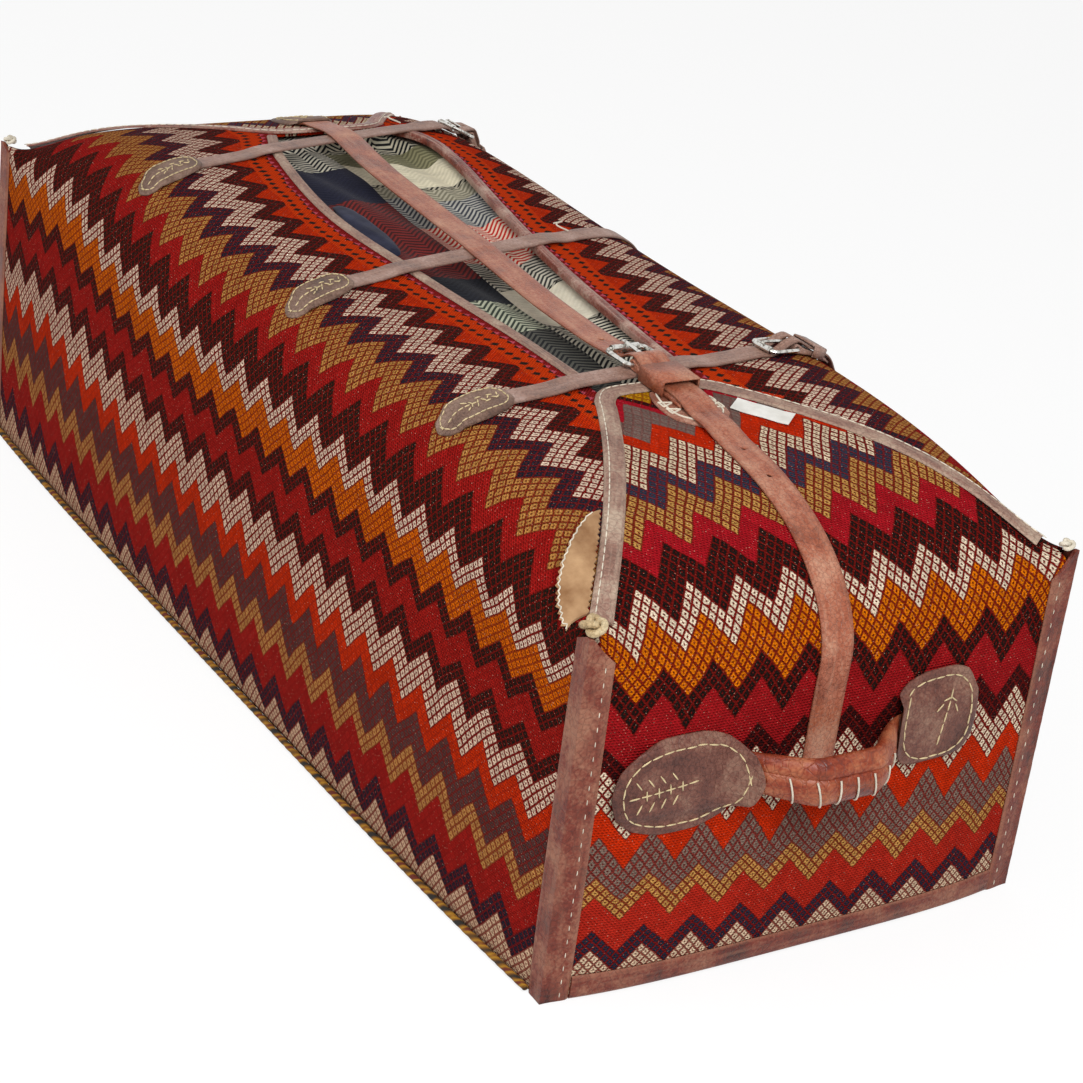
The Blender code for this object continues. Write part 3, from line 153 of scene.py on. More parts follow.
# Thread: distance between stitches, length of a stitch and half of the thread's thickness
FLAP_THREAD = (0.0085, 0.0080, 0.00060)
CORNER_DASHES = (0.0125, 0.0048, 0.00045)
HANDLE_STITCHES = (0.0100, 0.0098, 0.00070)
PATCH_STITCHES = (0.0060, 0.0060, 0.00065)
LACING = (0.0015, 0.0, 0.00085)
LEAF_THREAD = (0.0020, 0.0, 0.00060)

# The zigzags: width of a tooth and height of a band, in metres, and where one tooth points down
SIDE_TOOTH = 0.0478
SIDE_BAND = 0.0264
SIDE_FIRST_BAND = 0.0106
SIDE_TOOTH_AT = 0.1168
SIDE_TOP = 0.490
SIDE_SHIFT = ((0.0, 0.0), (0.17, 0.0), (0.30, 1.0), (0.40, 0.95), (0.50, 0.9))
END_TOOTH = 0.0460
LOZENGES = 5
END_TOOTH_AT = -0.0482
END_LEAN = 0.060
END_LEAN_FROM = 0.117
END_BANDS = (-0.038, -0.008, 0.015, 0.041, 0.064, 0.090, 0.1125, 0.147, 0.177, 0.207, 0.232, 0.2665, 0.2965,
             0.3285, 0.3605, 0.3925, 0.4245, 0.4565, 0.4885, 0.5205, 0.5525, 0.5845, 0.6165, 0.6485)

# The photograph's viewing place
CAMERA_PLACE = (2.06096, -1.30702, 1.26078)
CAMERA_TURN = 0.968695
CAMERA_DROP = 0.441483
CAMERA_ROLL = 0.128425
FOCAL_PIXELS = 2735.386527
FRAME_PIXELS = 1083
SENSOR = 36.0


# ---- the bag's skin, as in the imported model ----

def table_value(table, where):
    """Value at a place, on a smooth line through (place, value) pairs."""
    places = [p for p, _ in table]
    values = [v for _, v in table]
    if where <= places[0]:
        return values[0]
    if where >= places[-1]:
        return values[-1]
    i = max(k for k in range(len(places) - 1) if places[k] <= where)
    share = (where - places[i]) / (places[i + 1] - places[i])
    return values[i] + (values[i + 1] - values[i]) * share * share * (3 - 2 * share)


def smooth_curve(points, spans):
    """Points read from a smooth curve through the given ones."""
    points = [Vector(p) for p in points]
    ends = [2 * points[0] - points[1]] + points + [2 * points[-1] - points[-2]]
    curve = []
    for i in range(len(points) - 1):
        a, b, c, d = ends[i:i + 4]
        for k in range(spans):
            t = k / spans
            curve.append(0.5 * (2 * b + (c - a) * t + (2 * a - 5 * b + 4 * c - d) * t ** 2
                                + (3 * b - a - 3 * c + d) * t ** 3))
    return curve + [points[-1]]


def shoulder(share, power, roundness):
    """1 in the middle of the top, falling to 0 at its edge."""
    return max(0.0, 1.0 - min(1.0, abs(share)) ** power) ** (1.0 / roundness)


def end_half(y, inset=0.0):
    """Half length at a place across the bag, bowed out between the corners."""
    return HALF_LENGTH - inset + END_BOW * max(0.0, 1 - abs(y / (HALF_WIDTH - inset)) ** BOW_POWER)


def side_half(x, inset=0.0):
    """Half width at a place along the bag, bowed out between the corners."""
    return HALF_WIDTH - inset + SIDE_BOW * max(0.0, 1 - abs(x / (HALF_LENGTH - inset)) ** BOW_POWER)


def edge_height(x, y, inset=0.0):
    """Height of the top of the walls, which rises to the corners."""
    u = min(1.0, abs(x) / (HALF_LENGTH - inset))
    v = min(1.0, abs(y) / (HALF_WIDTH - inset))
    return WALL_HEIGHT + (CORNER_HEIGHT - WALL_HEIGHT) * (u * v) ** END_POWER - inset


def top_height(x, y, inset=0.0):
    """Height of the bag's crowned top, which falls to the walls and sags in the middle."""
    edge = edge_height(x, y, inset)
    crown = TOP_HEIGHT - TOP_SAG * math.exp(-(x / TOP_SAG_LENGTH) ** 2) - inset
    across = shoulder(y / side_half(x, inset), SIDE_POWER, SIDE_ROUNDNESS)
    along = shoulder(x / end_half(y, inset), END_POWER, END_ROUNDNESS)
    return edge + (crown - edge) * across * along


def top_normal(x, y, inset=0.0):
    step = 2e-5
    x = math.copysign(min(abs(x), end_half(y, inset) - 2 * step), x)
    y = math.copysign(min(abs(y), side_half(x, inset) - 2 * step), y)
    slope_x = (top_height(x + step, y, inset) - top_height(x - step, y, inset)) / (2 * step)
    slope_y = (top_height(x, y + step, inset) - top_height(x, y - step, inset)) / (2 * step)
    return Vector((-slope_x, -slope_y, 1.0)).normalized()


def top_point(x, y, lift=0.0, inset=0.0):
    return Vector((x, y, top_height(x, y, inset))) + lift * top_normal(x, y, inset)


def bulge(along, height):
    """Share of the wall's bulge at a share of its length and of its height."""
    height = min(1.0, max(0.0, height))
    peak = BULGE_LOW / (BULGE_LOW + BULGE_HIGH)
    most = peak ** BULGE_LOW * (1 - peak) ** BULGE_HIGH
    rise = height ** BULGE_LOW * (1 - height) ** BULGE_HIGH / most
    return rise * max(0.0, 1 - abs(along) ** BULGE_FALL)


def side_point(side, x, z, lift=0.0, inset=0.0):
    half = HALF_LENGTH - inset
    wall = edge_height(x, HALF_WIDTH, inset)

    def out(at):
        return side_half(at, inset) + SIDE_BULGE * bulge(at / half, z / wall)

    step = 1e-4
    slope = (out(x + step) - out(x - step)) / (2 * step) if abs(x) < half - step else 0.0
    normal = Vector((-slope, side, 0)).normalized()
    return Vector((x, side * out(x), z)) + lift * normal


def end_point(end, y, z, lift=0.0, inset=0.0):
    half = HALF_WIDTH - inset
    wall = edge_height(HALF_LENGTH, y, inset)

    def out(at):
        return end_half(at, inset) + END_BULGE * bulge(at / half, z / wall)

    step = 1e-4
    slope = (out(y + step) - out(y - step)) / (2 * step) if abs(y) < half - step else 0.0
    normal = Vector((end, -slope, 0)).normalized()
    return Vector((end * out(y), y, z)) + lift * normal


def profile(reach_of_top, top_at, wall_at, wall_top):
    """Points and lifted points down a section of the skin, and their distance from the middle."""
    samples = []
    count = 60
    for k in range(count + 1):
        samples.append(top_at(reach_of_top * (1 - (1 - k / count) ** 1.8)))
    for k in range(1, count + 1):
        samples.append(wall_at(wall_top * (1 - k / count)))
    distance = [0.0]
    for (a, _), (b, _) in zip(samples, samples[1:]):
        distance.append(distance[-1] + (b - a).length)
    return samples, distance


def read_profile(samples, distance, reach, lift):
    reach = min(max(reach, 0.0), distance[-1])
    i = min(max(int(np.searchsorted(distance, reach)) - 1, 0), len(distance) - 2)
    share = (reach - distance[i]) / max(distance[i + 1] - distance[i], 1e-9)
    base = samples[i][0].lerp(samples[i + 1][0], share)
    normal = (samples[i][1] - samples[i][0]).lerp(samples[i + 1][1] - samples[i + 1][0], share)
    return base + lift * normal.normalized()


def side_profile(side, x):
    key = (side, round(x, 7))
    if key not in side_profile.known:
        unit = 0.001
        side_profile.known[key] = profile(
            side_half(x),
            lambda y: (top_point(x, side * y), top_point(x, side * y, unit)),
            lambda z: (side_point(side, x, z), side_point(side, x, z, unit)),
            edge_height(x, HALF_WIDTH))
    return side_profile.known[key]


side_profile.known = {}


def end_profile(end, y):
    key = (end, round(y, 7))
    if key not in end_profile.known:
        unit = 0.001
        end_profile.known[key] = profile(
            end_half(y),
            lambda x: (top_point(end * x, y), top_point(end * x, y, unit)),
            lambda z: (end_point(end, y, z), end_point(end, y, z, unit)),
            edge_height(HALF_LENGTH, y))
    return end_profile.known[key]


end_profile.known = {}


def across_skin(x, reach, lift=0.0):
    """Point on a line across the top: negative reach towards the front, positive to the back."""
    return read_profile(*side_profile(-1 if reach < 0 else 1, x), abs(reach), lift)


def along_skin(reach, y, lift=0.0):
    """Point on a line along the top: negative reach towards the far end, positive to the near end."""
    return read_profile(*end_profile(-1 if reach < 0 else 1, y), abs(reach), lift)


def reach_across(side, x, y):
    """Distance round the skin from the middle of the top to a place on the top."""
    samples, distance = side_profile(side, x)
    top = len(samples) // 2 + 1
    return float(np.interp(abs(y), [abs(base.y) for base, _ in samples[:top]], distance[:top]))


def tip_x(end):
    return end * (HALF_LENGTH - (NEAR_FLAP_REACH if end > 0 else FAR_FLAP_REACH))


def tip_y(end, side):
    tip = NEAR_TIP if end > 0 else FAR_TIP
    return tip[0] if side < 0 else tip[1]


def hip(end, side, share):
    """Plan position on a hip seam, from the corner at share 0 to the flap's tip at share 1."""
    corner = Vector((end * HALF_LENGTH, side * HALF_WIDTH))
    tip = Vector((tip_x(end), tip_y(end, side)))
    bow = (NEAR_HIP_BOW if end > 0 else FAR_HIP_BOW)[0 if side < 0 else 1]
    inward = Vector((end * 0.5, -side * 0.85))
    return corner.lerp(tip, share) + inward * bow * 4 * share * (1 - share)


def lip_y(side, x):
    """Plan position of the mouth's lip on one side."""
    start, stop = tip_x(-1), tip_x(1)
    inner = FRONT_LIP if side < 0 else BACK_LIP
    table = [(0.0, tip_y(-1, side))] + list(inner) + [(1.0, tip_y(1, side))]
    points = [(start + share * (stop - start), y) for share, y in table]
    places = [p for p, _ in points]
    i = min(max(int(np.searchsorted(places, x)) - 1, 0), len(points) - 2)
    ends = [points[max(i - 1, 0)], points[i], points[i + 1], points[min(i + 2, len(points) - 1)]]
    span = ends[2][0] - ends[1][0]
    slope_a = (ends[2][1] - ends[0][1]) / max(ends[2][0] - ends[0][0], 1e-6)
    slope_b = (ends[3][1] - ends[1][1]) / max(ends[3][0] - ends[1][0], 1e-6)
    t = (x - ends[1][0]) / span
    return ((2 * t ** 3 - 3 * t ** 2 + 1) * ends[1][1] + (t ** 3 - 2 * t ** 2 + t) * span * slope_a
            + (3 * t ** 2 - 2 * t ** 3) * ends[2][1] + (t ** 3 - t ** 2) * span * slope_b)


def in_mouth(x, y):
    """1 well inside the mouth, 0 outside it, with a soft rim."""
    rim = 0.012
    start, stop = tip_x(-1), tip_x(1)
    if not start < x < stop:
        return 0.0
    room = min(y - lip_y(-1, x), lip_y(1, x) - y, x - start, stop - x)
    return min(1.0, max(0.0, room / rim))


def blanket_height(x, y):
    """Height of the blanket's folded top, which dips inside the mouth."""
    inset = CLOTH + FILL_CLEARANCE
    fold = FOLD_DEPTH * (0.5 + 0.5 * math.cos(2 * math.pi * (y - FOLD_SLANT * x) / FOLD_WIDTH))
    return top_height(x, y, inset) - (MOUTH_DIP + fold) * in_mouth(x, y)


# ---- making meshes ----

def linear(code):
    """A colour for a shader from its sRGB hex code."""
    parts = [int(code[k:k + 2], 16) / 255 for k in (1, 3, 5)]
    return tuple(p / 12.92 if p < 0.04045 else ((p + 0.055) / 1.055) ** 2.4 for p in parts) + (1.0,)


def placed(name, data):
    """A new object in the scene, at the origin."""
    obj = bpy.data.objects.new(name, data)
    bpy.context.scene.collection.objects.link(obj)
    return obj


def settled(obj):
    """The piece's mesh with its modifiers made real."""
    bpy.context.view_layer.update()
    evaluated = obj.evaluated_get(bpy.context.evaluated_depsgraph_get())
    mesh = bpy.data.meshes.new_from_object(evaluated)
    obj.modifiers.clear()
    obj.data = mesh
    return mesh


def made(name, verts, faces, finish, maps=None, sharp=50):
    """An object from points and faces turned outwards; maps holds a UV pair for every point."""
    mesh = bpy.data.meshes.new(name)
    mesh.from_pydata([tuple(v) for v in verts], [], faces)
    shape = bmesh.new()
    shape.from_mesh(mesh)
    bmesh.ops.recalc_face_normals(shape, faces=shape.faces)
    if shape.calc_volume(signed=True) < 0:
        bmesh.ops.reverse_faces(shape, faces=shape.faces)
    for label, pairs in (maps or {}).items():
        layer = shape.loops.layers.uv.new(label)
        for face in shape.faces:
            for loop in face.loops:
                loop[layer].uv = pairs[loop.vert.index]
    shape.to_mesh(mesh)
    shape.free()
    mesh.shade_smooth()
    mesh.set_sharp_from_angle(angle=math.radians(sharp))
    mesh.materials.append(finish)
    return placed(name, mesh)


def slab(lower, upper):
    """Points and faces of the closed sheet between two grids of points."""
    rows, columns = len(lower), len(lower[0])
    verts = [p for row in lower for p in row] + [p for row in upper for p in row]
    top = rows * columns
    faces = []
    for i in range(rows - 1):
        for j in range(columns - 1):
            a, b = i * columns + j, i * columns + j + 1
            c, d = b + columns, a + columns
            faces.append((a, b, c, d))
            faces.append((a + top, d + top, c + top, b + top))
    rim = list(range(columns))
    rim += [i * columns + columns - 1 for i in range(1, rows)]
    rim += [(rows - 1) * columns + j for j in range(columns - 2, -1, -1)]
    rim += [i * columns for i in range(rows - 2, 0, -1)]
    for a, b in zip(rim, rim[1:] + rim[:1]):
        faces.append((a, b, b + top, a + top))
    return verts, faces


def rings(outlines, closed=False):
    """Points and faces of a skin over a row of equal outlines, capped unless it closes on itself."""
    count, size = len(outlines), len(outlines[0])
    verts = [p for outline in outlines for p in outline]
    faces = []
    for i in range(count if closed else count - 1):
        for j in range(size):
            k = (j + 1) % size
            a, b = i * size, (i + 1) % count * size
            faces.append((a + j, a + k, b + k, b + j))
    if not closed:
        faces.append(tuple(range(size)))
        faces.append(tuple((count - 1) * size + j for j in reversed(range(size))))
    return verts, faces


def rough(point, size, seed=0.0):
    """Smooth unevenness between -1 and 1, with lumps of the given size."""
    return noise.noise(Vector(point) / size + Vector((seed, 2.7 * seed, -seed)))


def run_lengths(path):
    lengths = [0.0]
    for a, b in zip(path, path[1:]):
        lengths.append(lengths[-1] + (b - a).length)
    return lengths


def on_bag(obj, *nodes):
    """The piece rides on the bag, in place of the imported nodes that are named."""
    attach(obj, "root")
    if nodes:
        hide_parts(*nodes)
    return obj


# ---- materials ----

def add(tree, kind, inputs=(), **settings):
    """Add a node: settings are its own values; each input is given a value, a socket, or a node."""
    new = tree.nodes.new(kind)
    for key, value in settings.items():
        setattr(new, key, value)
    for key, value in dict(inputs).items():
        if isinstance(value, bpy.types.Node):
            value = value.outputs[0]
        if isinstance(value, bpy.types.NodeSocket):
            tree.links.new(value, new.inputs[key])
        else:
            new.inputs[key].default_value = value
    return new


def material(name, **sockets):
    """A new material with one shader, and the constants that are set on the shader's own sockets."""
    finish = bpy.data.materials.new(name)
    finish.use_nodes = True
    tree = finish.node_tree
    shader = tree.nodes["Principled BSDF"]
    for key, value in sockets.items():
        shader.inputs[key.replace("_", " ")].default_value = value
    return finish, tree, shader


def join(tree, shader, **nodes):
    """Link each node's first output to the shader's socket of that name."""
    for key, node in nodes.items():
        tree.links.new(node.outputs[0], shader.inputs[key.replace("_", " ")])


def set_stops(ramp, stops, interpolation="LINEAR"):
    """Stops are (place, hex colour, alpha)."""
    ramp.color_ramp.interpolation = interpolation
    elements = ramp.color_ramp.elements
    while len(elements) > 1:
        elements.remove(elements[-1])
    for k, (place, code, alpha) in enumerate(stops):
        element = elements[0] if k == 0 else elements.new(place)
        element.position = place
        element.color = linear(code)[:3] + (alpha,)
    return ramp


def zigzag_wool(name, bands, top_band, with_border):
    """Handspun wool in soumak, a wrapped weave: matt zigzag bands built of small lozenges.

    Map "teeth" counts teeth along and bands up; map "cloth" is in metres. Each band is (place of its
    lower edge, colour, how far the red ground shows between its lozenges).
    """
    finish, tree, shader = material(name, Roughness=0.95, Specular_IOR_Level=0.03)
    teeth = add(tree, "ShaderNodeUVMap", uv_map="teeth")
    cloth = add(tree, "ShaderNodeUVMap", uv_map="cloth")
    waver = add(tree, "ShaderNodeTexNoise", {"Vector": cloth, "Scale": 260.0, "Detail": 1.0})
    drift = add(tree, "ShaderNodeTexNoise", {"Vector": cloth, "Scale": 22.0, "Detail": 1.0})
    place = add(tree, "ShaderNodeSeparateXYZ", {0: teeth})
    shake = add(tree, "ShaderNodeMapRange", {"Value": waver, "To Min": -0.05, "To Max": 0.05})
    lean = add(tree, "ShaderNodeMapRange", {"Value": drift, "To Min": -0.16, "To Max": 0.16})
    moved = add(tree, "ShaderNodeMath", {0: shake, 1: lean}, operation="ADD")
    up = add(tree, "ShaderNodeMath", {0: place.outputs[1], 1: moved}, operation="ADD")
    along = add(tree, "ShaderNodeMath", {0: shake, 1: 0.3, 2: place.outputs[0]}, operation="MULTIPLY_ADD")

    # Lozenges, five to a tooth; every lozenge is of one colour, so the bands' edges are stepped
    up2 = add(tree, "ShaderNodeMath", {0: up, 1: LOZENGES / 2}, operation="MULTIPLY")
    one_way = add(tree, "ShaderNodeMath", {0: along, 1: LOZENGES, 2: up2}, operation="MULTIPLY_ADD")
    other_way = add(tree, "ShaderNodeMath", {0: along, 1: -LOZENGES, 2: up2}, operation="MULTIPLY_ADD")
    cell_one = add(tree, "ShaderNodeMath", {0: one_way}, operation="FLOOR")
    cell_other = add(tree, "ShaderNodeMath", {0: other_way}, operation="FLOOR")
    lozenge = add(tree, "ShaderNodeCombineXYZ", {0: cell_one, 1: cell_other})
    centre_along = add(tree, "ShaderNodeMath", {0: cell_one, 1: cell_other}, operation="SUBTRACT")
    centre_along = add(tree, "ShaderNodeMath", {0: centre_along, 1: 0.5 / LOZENGES}, operation="MULTIPLY")
    centre_up = add(tree, "ShaderNodeMath", {0: cell_one, 1: cell_other}, operation="ADD")
    centre_up = add(tree, "ShaderNodeMath", {0: centre_up, 1: 1 / LOZENGES, 2: 1 / LOZENGES},
                    operation="MULTIPLY_ADD")
    tooth = add(tree, "ShaderNodeMath", {0: centre_along, 1: 0.5}, operation="PINGPONG")
    band = add(tree, "ShaderNodeMath", {0: tooth, 1: -2.0, 2: centre_up}, operation="MULTIPLY_ADD")
    where = add(tree, "ShaderNodeMapRange", {"Value": band, "From Min": -1.0, "From Max": top_band})
    ramp = set_stops(add(tree, "ShaderNodeValToRGB", {"Fac": where}),
                     [((low + 1) / (top_band + 1), code, shows) for low, code, shows in bands], "CONSTANT")
    from_one = add(tree, "ShaderNodeMath", {0: one_way, 1: 0.5}, operation="PINGPONG")
    from_other = add(tree, "ShaderNodeMath", {0: other_way, 1: 0.5}, operation="PINGPONG")
    inside = add(tree, "ShaderNodeMath", {0: from_one, 1: from_other}, operation="MINIMUM")
    inside = add(tree, "ShaderNodeMath", {0: shake, 1: 0.5, 2: inside}, operation="MULTIPLY_ADD")
    outline = add(tree, "ShaderNodeMapRange", {"Value": inside, "From Min": 0.09, "From Max": 0.17,
                                               "To Min": 1.0, "To Max": 0.0})
    dot = add(tree, "ShaderNodeMapRange", {"Value": inside, "From Min": 0.37, "From Max": 0.43})
    ground = add(tree, "ShaderNodeMath", {0: outline, 1: dot}, operation="MAXIMUM")
    shown = add(tree, "ShaderNodeMath", {0: ground, 1: ramp.outputs["Alpha"]}, operation="MULTIPLY")
    chance = add(tree, "ShaderNodeTexWhiteNoise", {"Vector": lozenge})

    # Dye that took unevenly, lozenge by lozenge and in patches of a hand's width
    patches = add(tree, "ShaderNodeTexNoise", {"Vector": cloth, "Scale": 9.0, "Detail": 3.0})
    tone = add(tree, "ShaderNodeMath", {0: chance.outputs[0], 1: 0.24, 2: 0.80}, operation="MULTIPLY_ADD")
    tone = add(tree, "ShaderNodeMath", {0: patches, 1: 0.34, 2: tone}, operation="MULTIPLY_ADD")
    tone = add(tree, "ShaderNodeMath", {0: tone, 1: 0.10}, operation="SUBTRACT")
    dyed = add(tree, "ShaderNodeVectorMath", {0: ramp, "Scale": tone}, operation="SCALE")
    colour = add(tree, "ShaderNodeMix", {0: shown, 6: dyed, 7: linear("#7A1510")}, data_type="RGBA")

    # Flecks of the red ground in the plainer bands, a yarn or two wide, and specks of pale lint
    fleck = add(tree, "ShaderNodeTexNoise", {"Vector": cloth, "Scale": 520.0, "Detail": 2.0})
    some = add(tree, "ShaderNodeMapRange", {"Value": fleck, "From Min": 0.56, "From Max": 0.70,
                                            "To Max": 0.55})
    bare = add(tree, "ShaderNodeMath", {0: 1.0, 1: ramp.outputs["Alpha"]}, operation="SUBTRACT")
    some = add(tree, "ShaderNodeMath", {0: some, 1: bare}, operation="MULTIPLY")
    lint = add(tree, "ShaderNodeTexNoise", {"Vector": cloth, "Scale": 640.0, "Detail": 0.0})
    lint = add(tree, "ShaderNodeMapRange", {"Value": lint, "From Min": 0.76, "From Max": 0.80,
                                            "To Max": 0.60})
    colour = add(tree, "ShaderNodeMix", {0: some, 6: colour.outputs[2],
                                         7: linear("#7E1C16")}, data_type="RGBA")
    colour = add(tree, "ShaderNodeMix", {0: lint, 6: colour.outputs[2], 7: linear("#D8B49C")},
                 data_type="RGBA")
    result = colour.outputs[2]

    if with_border:
        # A red selvedge along the mouth: orange with black lozenges, then madder with pink ones
        high = add(tree, "ShaderNodeMath", {0: up, 1: with_border}, operation="SUBTRACT")
        in_border = add(tree, "ShaderNodeMath", {0: high, 1: 0.0}, operation="GREATER_THAN")
        second = add(tree, "ShaderNodeMath", {0: high, 1: 0.78}, operation="GREATER_THAN")
        plain = add(tree, "ShaderNodeMix", {0: second, 6: linear("#D23C0C"),
                                            7: linear("#8A1D1C")}, data_type="RGBA")
        spots = add(tree, "ShaderNodeMix", {0: second, 6: linear("#23211C"),
                                            7: linear("#D05568")}, data_type="RGBA")
        row = add(tree, "ShaderNodeMath", {0: high, 1: 0.26}, operation="PINGPONG")
        step = add(tree, "ShaderNodeMath", {0: along, 1: 0.125}, operation="PINGPONG")
        step = add(tree, "ShaderNodeMath", {0: step, 1: 1.8}, operation="MULTIPLY")
        spot = add(tree, "ShaderNodeMath", {0: row, 1: step}, operation="ADD")
        spot = add(tree, "ShaderNodeMapRange", {"Value": spot, "From Min": 0.30, "From Max": 0.36})
        spotted = add(tree, "ShaderNodeMix", {0: spot, 6: plain.outputs[2],
                                              7: spots.outputs[2]}, data_type="RGBA")
        bordered = add(tree, "ShaderNodeMix", {0: in_border, 6: result,
                                               7: spotted.outputs[2]}, data_type="RGBA")
        result = bordered.outputs[2]

    # Wrapped yarns about 1.7 mm apart, slanted one way in one row and the other way in the next
    yarns = add(tree, "ShaderNodeTexWave", {"Vector": cloth, "Scale": 185.0, "Distortion": 1.6,
                                            "Detail": 1.0, "Detail Scale": 1.5}, bands_direction="DIAGONAL")
    rows = add(tree, "ShaderNodeTexWave", {"Vector": cloth, "Scale": 130.0, "Distortion": 0.8},
               bands_direction="Y")
    fuzz = add(tree, "ShaderNodeTexNoise", {"Vector": cloth, "Scale": 1400.0, "Detail": 2.0})
    weave = add(tree, "ShaderNodeMath", {0: yarns.outputs[1], 1: rows.outputs[1]}, operation="ADD")
    weave = add(tree, "ShaderNodeMath", {0: fuzz, 1: 0.8, 2: weave}, operation="MULTIPLY_ADD")
    shade = add(tree, "ShaderNodeMapRange", {"Value": weave, "From Min": 0.2, "From Max": 2.2,
                                             "To Min": 0.56, "To Max": 1.14})
    final = add(tree, "ShaderNodeVectorMath", {0: result, "Scale": shade}, operation="SCALE")
    standing = add(tree, "ShaderNodeMath", {0: shown, 1: -1.4, 2: weave}, operation="MULTIPLY_ADD")
    bump = add(tree, "ShaderNodeBump", {"Height": standing, "Strength": 1.0, "Distance": 0.0008})
    join(tree, shader, Base_Color=final, Normal=bump)
    return finish


def worn_leather(name, dark, middle, light, roughness, crease, grain=420.0, edge_tone=0.0, streaks=0.0):
    """Vegetable-tanned hide, handled for years: a soft gloss, fine cracks and paler rubbed places.

    crease is the number of creases in a metre. edge_tone darkens (below 0) or pales the cut edges,
    which map "strip" holds as -1 and 1 across; streaks is how far rubbed streaks show along the strip.
    """
    finish, tree, shader = material(name, Roughness=roughness, Specular_IOR_Level=0.32)
    place = add(tree, "ShaderNodeTexCoord").outputs["Object"]
    blotches = add(tree, "ShaderNodeTexNoise", {"Vector": place, "Scale": 26.0, "Detail": 5.0,
                                                "Roughness": 0.62})
    cells = add(tree, "ShaderNodeTexVoronoi", {"Vector": place, "Scale": crease}, feature="DISTANCE_TO_EDGE")
    cracks = add(tree, "ShaderNodeMapRange", {"Value": cells, "From Min": 0.0, "From Max": 0.09})
    pores = add(tree, "ShaderNodeTexNoise", {"Vector": place, "Scale": grain, "Detail": 3.0})
    mixed = add(tree, "ShaderNodeMath", {0: pores, 1: 0.35, 2: blotches}, operation="MULTIPLY_ADD")
    mixed = add(tree, "ShaderNodeMath", {0: mixed, 1: 0.17}, operation="SUBTRACT")
    ramp = set_stops(add(tree, "ShaderNodeValToRGB", {"Fac": mixed}),
                     [(0.30, dark, 1), (0.50, middle, 1), (0.70, light, 1)])
    result = ramp.outputs[0]
    if streaks or edge_tone:
        strip = add(tree, "ShaderNodeUVMap", uv_map="strip")
        across = add(tree, "ShaderNodeSeparateXYZ", {0: strip})
    if streaks:
        long_way = add(tree, "ShaderNodeMapping", {"Vector": strip, "Scale": (14.0, 2.4, 1.0)})
        streak = add(tree, "ShaderNodeTexNoise", {"Vector": long_way, "Scale": 1.0, "Detail": 4.0})
        worn = add(tree, "ShaderNodeMapRange", {"Value": streak, "From Min": 0.46, "From Max": 0.68,
                                                "To Max": streaks})
        mix = add(tree, "ShaderNodeMix", {0: worn, 6: result, 7: linear(light)}, data_type="RGBA")
        result = mix.outputs[2]
    if edge_tone:
        side = add(tree, "ShaderNodeMath", {0: across.outputs[1]}, operation="ABSOLUTE")
        edge = add(tree, "ShaderNodeMapRange", {"Value": side, "From Min": 0.78, "From Max": 1.0,
                                                "To Max": abs(edge_tone)})
        mix = add(tree, "ShaderNodeMix", {0: edge, 6: result,
                                          7: linear(light if edge_tone > 0 else dark)}, data_type="RGBA")
        result = mix.outputs[2]
    shade = add(tree, "ShaderNodeMapRange", {"Value": cracks, "To Min": 0.78, "To Max": 1.0})
    final = add(tree, "ShaderNodeVectorMath", {0: result, "Scale": shade}, operation="SCALE")
    height = add(tree, "ShaderNodeMath", {0: pores, 1: 0.5, 2: cracks}, operation="MULTIPLY_ADD")
    height = add(tree, "ShaderNodeMath", {0: blotches, 1: 1.5, 2: height}, operation="MULTIPLY_ADD")
    bump = add(tree, "ShaderNodeBump", {"Height": height, "Strength": 0.6, "Distance": 0.0005})
    gloss = add(tree, "ShaderNodeMapRange", {"Value": blotches, "From Min": 0.3, "From Max": 0.7,
                                             "To Min": roughness - 0.10, "To Max": roughness + 0.12})
    join(tree, shader, Base_Color=final, Normal=bump, Roughness=gloss)
    return finish


def spun_thread(name, code, roughness=0.8):
    """Waxed cotton sewing thread: two strands, slightly soiled."""
    finish, tree, shader = material(name, Roughness=roughness)
    place = add(tree, "ShaderNodeTexCoord").outputs["Object"]
    soil = add(tree, "ShaderNodeTexNoise", {"Vector": place, "Scale": 150.0, "Detail": 3.0})
    tone = add(tree, "ShaderNodeMapRange", {"Value": soil, "From Min": 0.35, "From Max": 0.65,
                                            "To Min": 0.72, "To Max": 1.0})
    final = add(tree, "ShaderNodeVectorMath", {0: linear(code)[:3], "Scale": tone}, operation="SCALE")
    twist = add(tree, "ShaderNodeTexNoise", {"Vector": place, "Scale": 900.0, "Detail": 1.0})
    bump = add(tree, "ShaderNodeBump", {"Height": twist, "Strength": 0.5, "Distance": 0.0003})
    join(tree, shader, Base_Color=final, Normal=bump)
    return finish


